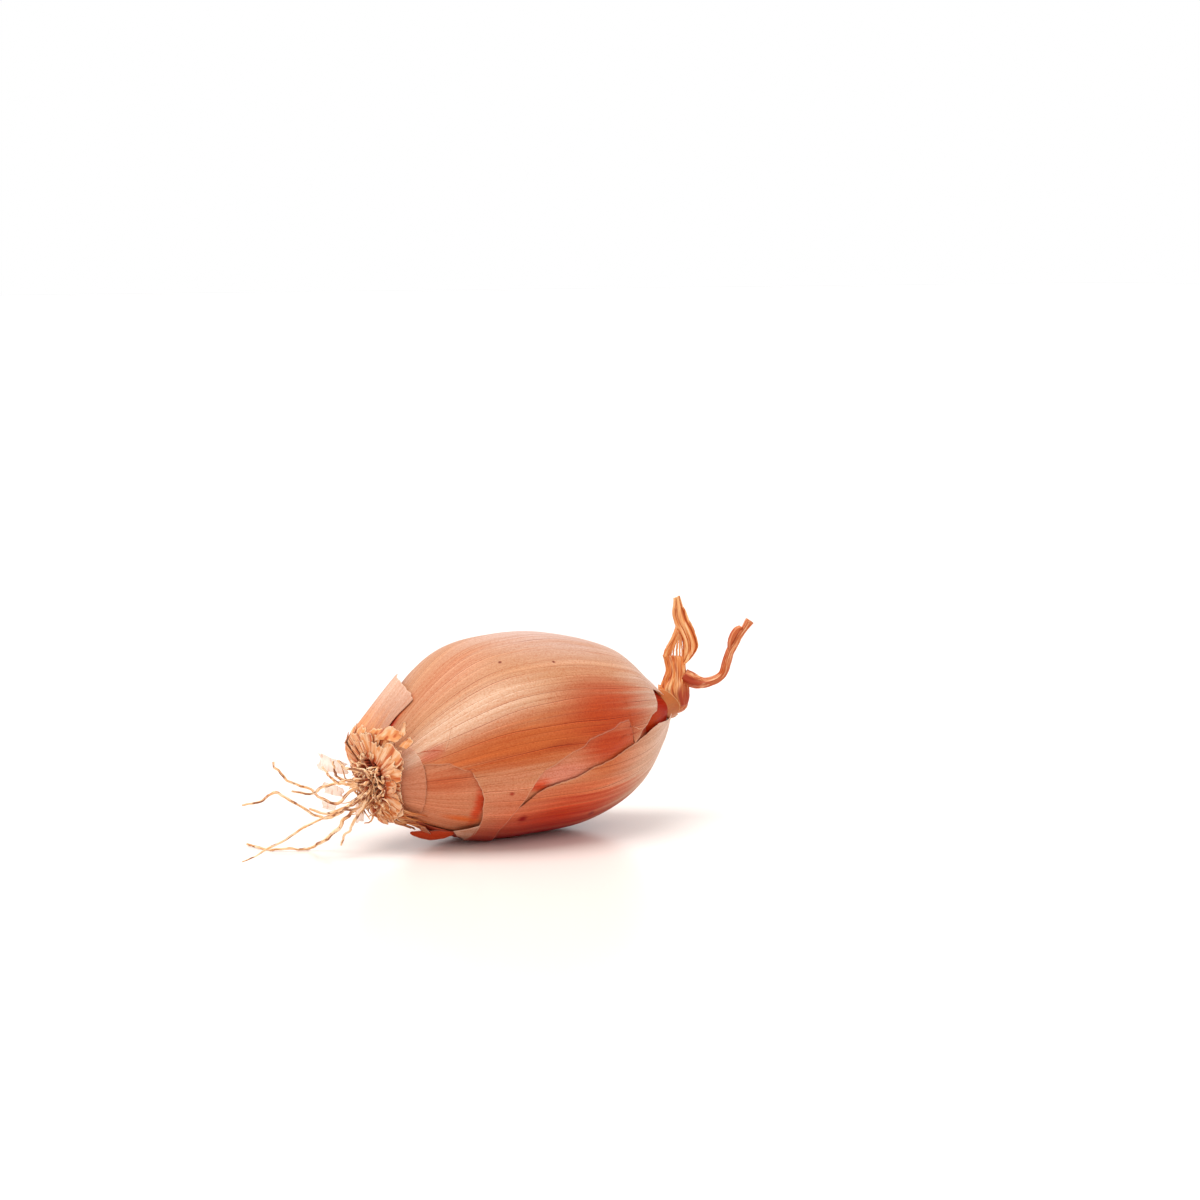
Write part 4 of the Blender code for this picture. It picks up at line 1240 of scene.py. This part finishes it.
class SHALLOT_OT_root_frill(bpy.types.Operator):
    """The ragged collar of broken skin ends round the root plate"""
    bl_idname = "shallot.root_frill"
    bl_label = "Root Frill"

    def execute(self, context):
        _, colours = settings(context)
        bm = new_bmesh()
        self.skirt(bm, stand=0.0, reach=1.0, seed=1)
        self.skirt(bm, stand=0.45, reach=0.72, seed=2)
        finish_piece(context, "frill_skirt", bm, frill_material(colours, "radiating_skin_ends"),
                     ["root_frill"], thickness=0.16 * MM, offset=0.0)
        bm = new_bmesh()
        for number, (corners, stand, curl) in enumerate(FRILL_FLAKES):
            self.flake(bm, 40 + number * 3.1, corners, stand, curl)
        for number, (angle, half_width, reach, stand, curl) in enumerate(FRILL_LOBES):
            root_width = half_width * 0.7
            corners = ((angle - root_width, 0.1), (angle + root_width, 0.1),
                       (angle - half_width, reach), (angle + half_width, reach))
            self.flake(bm, number * 3.1, corners, stand, curl)
        finish_piece(context, "frill_flakes", bm, frill_material(colours), thickness=0.14 * MM,
                     offset=0.0)
        return {"FINISHED"}

    @staticmethod
    def skirt(bm, stand, reach, seed):
        """A whole ring of skin ends, pleated round the plate."""
        def place(u, v):
            angle = 360 * u
            turn = math.radians(angle)
            # The skin ends broke off closer to the plate on the front.
            ragged = -0.4 * math.exp(-((angle - 97) / 26) ** 2) * reach
            ragged += 0.1 * ring_noise(turn, 4, (0, 0, seed)) + 0.15 * ring_noise(turn, 17, (0, 0, seed))
            fold = ring_noise(turn, 15, (0, 0, seed + 0.5 * v))
            lift = stand + (0.55 * fold + 0.35 * ring_noise(turn, 24, (0, 0, v + seed))) * v ** 0.6
            grain = ring_point(turn, 8 * MM, v * 5 * MM)
            return on_frill(angle, v * (reach + ragged), lift), grain, v ** 6, 2 * fold

        verts = add_sheet(bm, place, 240, 14)
        bmesh.ops.remove_doubles(bm, verts=verts, dist=WELD)

    @staticmethod
    def flake(bm, seed, corners, stand, curl):
        """One broken end of skin: ragged at its rim, with soft pleats that run out from the plate."""
        corners = vectors(corners)
        far_left, far_right = corners[2:]
        width_mm = math.radians((far_right - far_left).x) * frill_rim(far_left.x)[0]
        pleat_count = width_mm / 1.5

        def place(u, v):
            side = 2 * u - 1
            ragged = 0.12 * rough(u, 0.4, seed) + 0.07 * rough(u, 0.14, seed + 1)
            ragged += 0.03 * rough(u, 0.05, seed + 2)
            reached = v * (1 + ragged - 0.2 * abs(side) ** 5)
            narrowed = u + 0.07 * rough(v, 0.3, seed + 5) * side
            spot = patch(corners, narrowed, reached)
            pleat = math.sin(math.pi * (pleat_count * u + 0.9 * rough(v, 0.5, seed + 3)))
            fold = 0.45 * pleat + 0.8 * rough(u + 0.3 * v, 0.16, seed + 7)
            lift = stand + 0.11 * fold * v ** 0.5 + curl * 0.9 * v ** 3 + 0.3 * rough(u, 0.6, seed + 8) * v
            grain = Vector((u * width_mm * MM, seed * 3 * MM, spot.y * 4.5 * MM))
            return on_frill(spot.x, spot.y, lift), grain, max(v ** 9, abs(side) ** 11), fold

        add_sheet(bm, place, max(14, round(width_mm * 9)), 18)


def any_way(rng):
    """A random vector, up to 1 each way."""
    return Vector((rng.uniform(-1, 1), rng.uniform(-1, 1), rng.uniform(-1, 1)))


class SHALLOT_OT_root_end(bpy.types.Operator):
    """The corky root plate, the mat of short curly roots and broken stubs on it, and the skin fibres"""
    bl_idname = "shallot.root_end"
    bl_label = "Root Plate and Mat"

    def execute(self, context):
        sizes, colours = settings(context)
        rng = random.Random(5)
        self.plate(context, colours)
        bm = new_bmesh()
        for _ in range(sizes.short_root_count):
            self.short_root(bm, rng, sizes)
        curly = root_material(colours, "dried_short_roots", shade_reach=0.6)
        finish_piece(context, "short_roots", bm, curly, ["root_mat"])
        bm = new_bmesh()
        for _ in range(sizes.stub_count):
            self.stub(bm, rng, sizes)
        broken = root_material(colours, "broken_root_stubs", shade_reach=1.0)
        finish_piece(context, "root_stubs", bm, broken)
        bm = new_bmesh()
        fibre_count, first, spread = 46, 136, 68
        for i in range(fibre_count):
            self.skin_fibre(bm, rng, first + spread * (i + rng.uniform(-0.4, 0.4)) / fibre_count)
        fibre_skin = stem_material("dry_skin_fibres", "#E8B080", "#D08548", "#9A3C16", rust=0.12)
        finish_piece(context, "skin_fibres", bm, fibre_skin)
        return {"FINISHED"}

    @staticmethod
    def plate(context, colours):
        radius, near, far, rim = 5.7, 0.3, -1.9, 0.82
        outline = vectors(((0, near), (radius, near), (radius * rim, far * 0.8), (0, far)))

        def place(u, v):
            angle = 360 * u
            position = v * (len(outline) - 1)
            i = min(int(position), len(outline) - 2)
            r, s = mix(outline[i], outline[i + 1], position - i)
            lumps = noise.noise(ring_point(math.radians(angle), r, s) * 0.9)
            return round_axis((s - 0.5 * lumps * smoothstep(0.3, 0.7, v)) * MM, angle, r * MM), Vector(), 0.0

        sheet_piece(context, "root_plate", place, (48, 24), plate_material(colours),
                    ["basal_plate"], closed=True)

    @staticmethod
    def short_root(bm, rng, sizes):
        """A curly root: it leaves the plate outwards, sags and curls."""
        steps, lowest, mat_radius = 10, 0.5 * MM, 5.0
        angle = rng.uniform(0, 360)
        radius = mat_radius * math.sqrt(rng.uniform(0.02, 1))
        start = round_axis(-1.4 * MM, angle, radius * MM)
        heading = (outward(angle) * (0.2 + 0.12 * radius) - AXIS * rng.uniform(0.5, 1.2)
                   - SIDEWAYS * rng.uniform(0, 0.5) + Vector((0, 0, rng.uniform(-0.3, 0.05)))).normalized()
        reach = rng.uniform(2.6, 8.0) * MM
        curl_axis = any_way(rng).normalized()
        curl = rng.uniform(-3.4, 3.4)
        seed = rng.uniform(0, 90)
        points = [start]
        for k in range(1, steps):
            spiral = curl_axis.cross(heading) * curl / steps
            bend = rough_vector(k, 2.2, seed) * 1.1
            heading = (heading + (bend + spiral) * 0.85 + Vector((0, 0, -0.05))).normalized()
            points.append(points[-1] + heading * reach / (steps - 1))
        points = [Vector((p.x, p.y, max(p.z, lowest))) for p in points]
        thick = sizes.root_radius * rng.uniform(0.55, 1.0)
        radii = [thick * mix(1.15, 0.5, k / (steps - 1)) * (1 + 0.25 * rough(k, 0.9, seed + 4))
                 for k in range(steps)]
        add_strand(bm, points, radii, sides=5, seed=seed)

    @staticmethod
    def stub(bm, rng, sizes):
        """A thick root that broke off short."""
        steps, mat_radius = 5, 5.3
        angle = rng.uniform(0, 360)
        radius = mat_radius * math.sqrt(rng.uniform(0.03, 1))
        point = round_axis(-1.2 * MM, angle, radius * MM)
        heading = (outward(angle) * 0.14 * radius - AXIS * 0.9 + any_way(rng) * 0.45).normalized()
        reach = rng.uniform(1.6, 3.8) * MM
        thick = sizes.root_radius * rng.uniform(1.15, 1.6)
        points, radii = [], []
        for k in range(steps):
            points.append(point)
            radii.append(thick * mix(1.1, 0.8, k / (steps - 1)) * rng.uniform(0.85, 1.15))
            heading = (heading + any_way(rng) * 0.4).normalized()
            point = point + heading * reach / (steps - 1)
        add_strand(bm, points, radii, sides=5, seed=rng.uniform(0, 90))

    @staticmethod
    def skin_fibre(bm, rng, angle):
        """A dry strand that sweeps from the plate round the underside of the frill."""
        seed = rng.uniform(0, 90)
        reach = rng.uniform(1.2, 6.6)
        steps = 12
        points = []
        for k in range(steps):
            t = k / (steps - 1)
            distance = mix(-2.2, reach, t ** 1.5)
            outside = bulb_radius(max(distance, 0.5) * MM) / MM + 1.0 + 0.5 * rough(k, 3, seed)
            radius = mix(4.2, outside, smoothstep(0, 0.75, t)) + 2.3 * math.sin(math.pi * t) * (1 - t) ** 0.7
            turned = angle + 5 * rough(k, 5, seed + 2)
            points.append(settle(round_axis(distance * MM, turned, radius * MM), 0.5 * MM))
        thick = rng.uniform(0.16, 0.36) * MM
        radii = [thick * mix(1.2, 0.5, k / (steps - 1)) for k in range(steps)]
        add_strand(bm, points, radii, sides=6, seed=seed, wear=lambda turn, t: 0.5 * smoothstep(0.5, 1, t))


class SHALLOT_OT_long_roots(bpy.types.Operator):
    """The long dry roots, each on its own route, some of them down to the table"""
    bl_idname = "shallot.long_roots"
    bl_label = "Long Roots"

    def execute(self, context):
        sizes, colours = settings(context)
        rng = random.Random(3)
        material = root_material(colours, "dried_long_roots", shade_reach=0.12)
        foot = ROOT_CENTRE - AXIS * 1.4 * MM
        for name, route in LONG_ROOTS.items():
            stops = [from_plate(p) for p in route]
            # Its foot lies inside the mat, most of the way to the plate.
            stops.insert(0, mix(stops[0], foot, 0.8))
            count = 12 * (len(stops) - 1) + 1
            seed = rng.uniform(0, 90)
            thick = sizes.root_radius * rng.uniform(0.95, 1.3)
            points, radii = [], []
            for k in range(count):
                t = k / (count - 1)
                sway = rough_vector(k, 9, seed) * 0.5 + rough_vector(k, 3.5, seed + 5) * 0.16
                point = smooth_through(stops, t) + sway * MM * smoothstep(0, 0.15, t)
                swell = 1 + 0.25 * rough(k, 5, seed + 8) + 0.16 * rough(k, 1.6, seed + 9)
                radius = thick * mix(1.2, 0.62, t) * swell
                points.append(Vector((point.x, point.y, max(point.z, 1.25 * radius))))
                radii.append(radius)

            def section(turn, t, seed=seed):
                return 1 + 0.14 * math.sin(2 * turn + 9 * t + seed) + 0.1 * math.sin(5 * turn + seed)

            bm = new_bmesh()
            add_strand(bm, points, radii, sides=10, seed=seed, section=section)
            finish_piece(context, name.replace("root_", "long_root_"), bm, material, [name])
        return {"FINISHED"}


class SHALLOT_OT_neck(bpy.types.Operator):
    """The shrivelled neck and the rounded tan scrap in front of it"""
    bl_idname = "shallot.neck"
    bl_label = "Neck"

    def execute(self, context):
        _, colours = settings(context)
        self.neck(context, colours)
        self.collar(context, colours)
        return {"FINISHED"}

    @staticmethod
    def neck(context, colours):
        stops = [in_stem_plane(p[:2], p[2]) for p in NECK_MM]

        def section(turn, t):
            folds = ring_noise(turn, 2.6, (0, 0, 1.2 * t))
            creases = ring_noise(turn, 6, (3, 0, 2.2 * t))
            return 0.96 + 0.14 * folds + 0.09 * creases

        def stain(turn, t):
            return 0.55 * smoothstep(0.35, 0.8, t)

        bm = new_bmesh()
        add_smooth_strand(bm, stops, NECK_RADII_MM, rings=44, sides=72, seed=1, section=section, wear=stain)
        neck_skin = stem_material("shrivelled_neck", "#E9A768", "#CC7A3E", colours.stem_rust_and_shade, rust=0.1)
        finish_piece(context, "dry_neck", bm, neck_skin, ["neck"])

    @staticmethod
    def collar(context, colours):
        inner, outer = vectors(COLLAR_INNER), vectors(COLLAR_OUTER)
        stands_off, leans_out = 3.4, 6.0

        def place(u, v):
            near, far = smooth_through(inner, v), smooth_through(outer, v)
            rim = far + (far - near) * 0.05 * rough(v, 0.12, 4)
            crown = math.sin(math.pi * v) ** 0.6
            towards = stands_off + leans_out * (1 - u) ** 1.5 + crown * (0.5 - 0.4 * u ** 4)
            towards += 0.15 * rough(u, 0.35, 6) + 0.1 * rough(v, 0.2, 8)
            worn = max(u ** 9, abs(2 * v - 1) ** 9)
            return in_stem_plane(mix(near, rim, u), towards), Vector((v * 8, 0, u * 5)) * MM, worn

        sheet_piece(context, "tan_collar", place, (26, 36), collar_material(colours),
                    ["neck_collar"], thickness=0.24 * MM)


# The upright leaf's torn strips, in the stem plane: (sideways, height) in mm down each side, evenly numbered.
STRIPS = (
    (((61.7, 20.4), (62.4, 22.4), (63.5, 24.4), (64.5, 26.9), (64.6, 28.4)),
     ((63.4, 20.4), (64.1, 22.4), (64.8, 24.4), (65.4, 26.3), (65.4, 28.4)), 2.6, 0.26, 0.2),
    (((66.1, 18.9), (66.3, 20.8), (66.3, 22.6), (66.1, 24.4), (65.2, 26.5), (64.5, 27.9), (63.9, 30.4),
      (64.1, 32.2), (64.2, 33.9)),
     ((67.0, 18.9), (68.5, 20.6), (69.6, 22.4), (69.6, 24.0), (68.8, 26.7), (67.6, 28.9), (66.9, 30.8),
      (66.1, 32.4), (65.4, 34.4)), 4.4, 0.36, 0.7),
    (((63.9, 20.2), (64.0, 22.0), (64.5, 23.8), (65.0, 25.6)),
     ((64.2, 20.2), (64.3, 22.0), (64.8, 23.8), (65.3, 25.6)), 1.0, 0.06, 0.0),
    (((64.7, 20.2), (64.7, 22.0), (64.9, 23.8), (65.2, 25.8)),
     ((65.1, 20.2), (65.1, 22.0), (65.2, 23.8), (65.5, 25.8)), 1.0, 0.08, 0.0),
    (((65.4, 20.2), (65.4, 22.0), (65.4, 23.8), (65.4, 25.8)),
     ((65.7, 20.2), (65.7, 22.0), (65.7, 23.8), (65.7, 25.8)), 1.0, 0.06, 0.0),
    (((66.0, 20.2), (65.9, 22.0), (65.7, 23.8), (65.5, 25.8)),
     ((66.4, 20.2), (66.2, 22.0), (66.0, 23.8), (65.9, 25.8)), 1.0, 0.08, 0.0),
)
SIDE_STEM_FOLD = (
    ((76.5, 22.4), (76.5, 23.6), (76.8, 25.0), (77.5, 26.4), (78.3, 27.2), (79.2, 27.5)),
    ((77.2, 21.8), (77.7, 23.0), (78.5, 24.2), (79.3, 25.4), (80.0, 26.4), (80.4, 26.9)), 2.4, 0.24, 1.0,
)


def add_ribbon(bm, lefts, rights, pleats, depth_mm, crown_mm, seed):
    """A pleated, slightly crowned ribbon in the stem plane between its left and right sides."""
    lefts, rights = vectors(lefts), vectors(rights)
    rise = (lefts[-1] - lefts[0]).length

    def place(u, v):
        left, right = smooth_through(lefts, v), smooth_through(rights, v)
        fold = math.sin(math.pi * pleats * u + 2.0 * rough(v, 0.5, seed))
        fold *= 0.7 + 0.5 * rough(u, 0.2, seed + 2)
        fold += 0.5 * rough(u + 0.15 * v, 0.09, seed + 4)
        ragged = 0.1 * rough(v, 0.06, seed + 6) * abs(2 * u - 1) ** 4
        spot = mix(left, right, u) + Vector((ragged, 0))
        towards = fold * depth_mm + crown_mm * math.cos(math.pi * (u - 0.5))
        grain = Vector((u * (right - left).length, seed, v * rise + seed * 10)) * MM
        return in_stem_plane(spot, towards), grain, 0.0, fold

    widest = max((b - a).length for a, b in zip(lefts, rights))
    add_sheet(bm, place, max(6, round(widest * 9)), round(rise * 5))


class SHALLOT_OT_leaf_stems(bpy.types.Operator):
    """The broad upright leaf stem with its torn strips, and the slender side stem"""
    bl_idname = "shallot.leaf_stems"
    bl_label = "Leaf Stems"

    def execute(self, context):
        _, colours = settings(context)
        material = stem_material("shrivelled_leaf_stem", colours.stem_light_and_highlight, colours.stem, colours.stem_rust_and_shade,
                                 rust=0.0)
        self.trunk(context, material)
        bm = new_bmesh()
        for number, strip in enumerate(STRIPS):
            add_ribbon(bm, *strip, 2 + 3 * number)
        finish_piece(context, "upright_stem_strips", bm, material, thickness=0.26 * MM,
                     offset=0.0)
        slender = stem_material("shrivelled_side_stem", "#E5A06C", "#C2673A", colours.stem_rust_and_shade, rust=0.1)
        self.side_stem(context, slender)
        return {"FINISHED"}

    @staticmethod
    def trunk(context, material):
        lefts, rights = vectors(TRUNK_LEFT), vectors(TRUNK_RIGHT)

        def place(u, v):
            left, right = smooth_through(lefts, v), smooth_through(rights, v)
            depth = smooth_through(TRUNK_DEPTHS_MM, v)
            turn = math.tau * u
            wander = 0.5 * rough(v, 0.4, 3)
            folds = ring_noise(turn + wander, 3.2, (0, 0, 2.2 * v))
            creases = ring_noise(turn + wander, 7, (4, 0, 3.4 * v))
            pleat = 1 + 0.16 * folds + 0.08 * creases - 0.6 * max(0, 1 - v / 0.05) ** 2
            spot = (left + right) / 2 - (right - left) / 2 * math.cos(turn) * pleat
            # Rust stains its foot, most on the neck's far side.
            stain = (1 - smoothstep(0.1, 0.62, v)) * smoothstep(-0.5, 0.9, -math.cos(turn) + 0.9 * folds)
            return (in_stem_plane(spot, depth * math.sin(turn) * pleat), ring_point(turn, 3 * MM, v * 9 * MM),
                    stain, 1.6 * (folds + creases))

        sheet_piece(context, "upright_stem_trunk", place, (110, 60), material,
                    ["leaf_stem_upright"], closed=True)

    @staticmethod
    def side_stem(context, material):
        stops = [in_stem_plane(p) for p in SIDE_STEM_MM]

        def section(turn, t):
            flat = 1 - 0.22 * math.sin(turn + 0.4) ** 2
            folds = ring_noise(turn + 1.5 * t, 2.8, (0, 0, 2 * t))
            creases = ring_noise(turn + 1.5 * t, 7, (6, 0, 5 * t))
            return flat * (0.97 + 0.2 * folds + 0.1 * creases)

        def stain(turn, t):
            return (1 - smoothstep(0.05, 0.5, t)) * smoothstep(-0.7, 0.8, math.sin(3 * turn + 2 * t))

        bm = new_bmesh()
        add_smooth_strand(bm, stops, SIDE_STEM_RADII_MM, rings=96, sides=48, seed=4, section=section,
                          wear=stain)
        finish_piece(context, "side_stem", bm, material, ["leaf_stem_side"])
        bm = new_bmesh()
        add_ribbon(bm, *SIDE_STEM_FOLD, 12)
        finish_piece(context, "side_stem_fold", bm, material, thickness=0.24 * MM, offset=0.0)


class SHALLOT_OT_stage(bpy.types.Operator):
    """The white board, the white surround, the soft key light and the camera"""
    bl_idname = "shallot.stage"
    bl_label = "Stage"

    def execute(self, context):
        scene = context.scene
        stage = scene.shallot_stage
        bm = bmesh.new()
        bmesh.ops.create_grid(bm, x_segments=1, y_segments=1, size=BOARD_REACH)
        board = mesh_of(bm, "board", floor_material(scene.shallot_colours))
        add_object(context, "board", board)

        world = bpy.data.worlds.new("white_surround")
        world.use_nodes = True
        backdrop = world.node_tree.nodes["Background"]
        backdrop.inputs["Color"].default_value = (1, 1, 1, 1)
        backdrop.inputs["Strength"].default_value = stage.surround
        scene.world = world

        key = bpy.data.lights.new("soft_key", "SUN")
        key.energy = stage.key
        key.angle = KEY_SOFTNESS
        lamp = add_object(context, "soft_key", key)
        lamp.rotation_euler = KEY_DIRECTION.to_track_quat("-Z", "Y").to_euler()

        lens = bpy.data.cameras.new("camera")
        lens.lens = stage.lens
        lens.sensor_width = SENSOR_WIDTH_MM
        lens.clip_end = FARTHEST_SEEN
        camera = add_object(context, "camera", lens)
        level, drop = math.cos(stage.pitch), math.sin(stage.pitch)
        forward = Vector((math.sin(stage.heading) * level, math.cos(stage.heading) * level, -drop))
        camera.location = Vector(stage.aim) - forward * stage.distance
        camera.rotation_euler = forward.to_track_quat("-Z", "Y").to_euler()
        scene.camera = camera
        scene.view_settings.view_transform = "Standard"
        return {"FINISHED"}


OPERATORS = (
    SHALLOT_OT_stage,
    SHALLOT_OT_inner_skin,
    SHALLOT_OT_second_skin,
    SHALLOT_OT_outer_skin,
    SHALLOT_OT_skin_scraps,
    SHALLOT_OT_root_frill,
    SHALLOT_OT_root_end,
    SHALLOT_OT_long_roots,
    SHALLOT_OT_neck,
    SHALLOT_OT_leaf_stems,
)


class SHALLOT_PT_panel(bpy.types.Panel):
    """Lists the shallot's settings and its pieces"""
    bl_idname = "SHALLOT_PT_panel"
    bl_label = "Long Shallot"
    bl_space_type = "VIEW_3D"
    bl_region_type = "UI"
    bl_category = "Shallot"

    def draw(self, context):
        layout = self.layout
        for group in GROUPS:
            settings_here = getattr(context.scene, group)
            for name in settings_here.__annotations__:
                layout.prop(settings_here, name)
        for operator in OPERATORS:
            layout.operator(operator.bl_idname)


GROUPS = {"shallot_sizes": ShallotSizes, "shallot_colours": ShallotColours, "shallot_stage": ShallotStage}


def register():
    for cls in (*GROUPS.values(), *OPERATORS, SHALLOT_PT_panel):
        bpy.utils.register_class(cls)
    for name, group in GROUPS.items():
        setattr(bpy.types.Scene, name, PointerProperty(type=group))


def unregister():
    for name in GROUPS:
        delattr(bpy.types.Scene, name)
    for cls in reversed((*GROUPS.values(), *OPERATORS, SHALLOT_PT_panel)):
        bpy.utils.unregister_class(cls)


def main():
    register()
    for operator in OPERATORS:
        group, name = operator.bl_idname.split(".")
        getattr(getattr(bpy.ops, group), name)()
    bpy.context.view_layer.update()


if __name__ == "__main__":
    main()
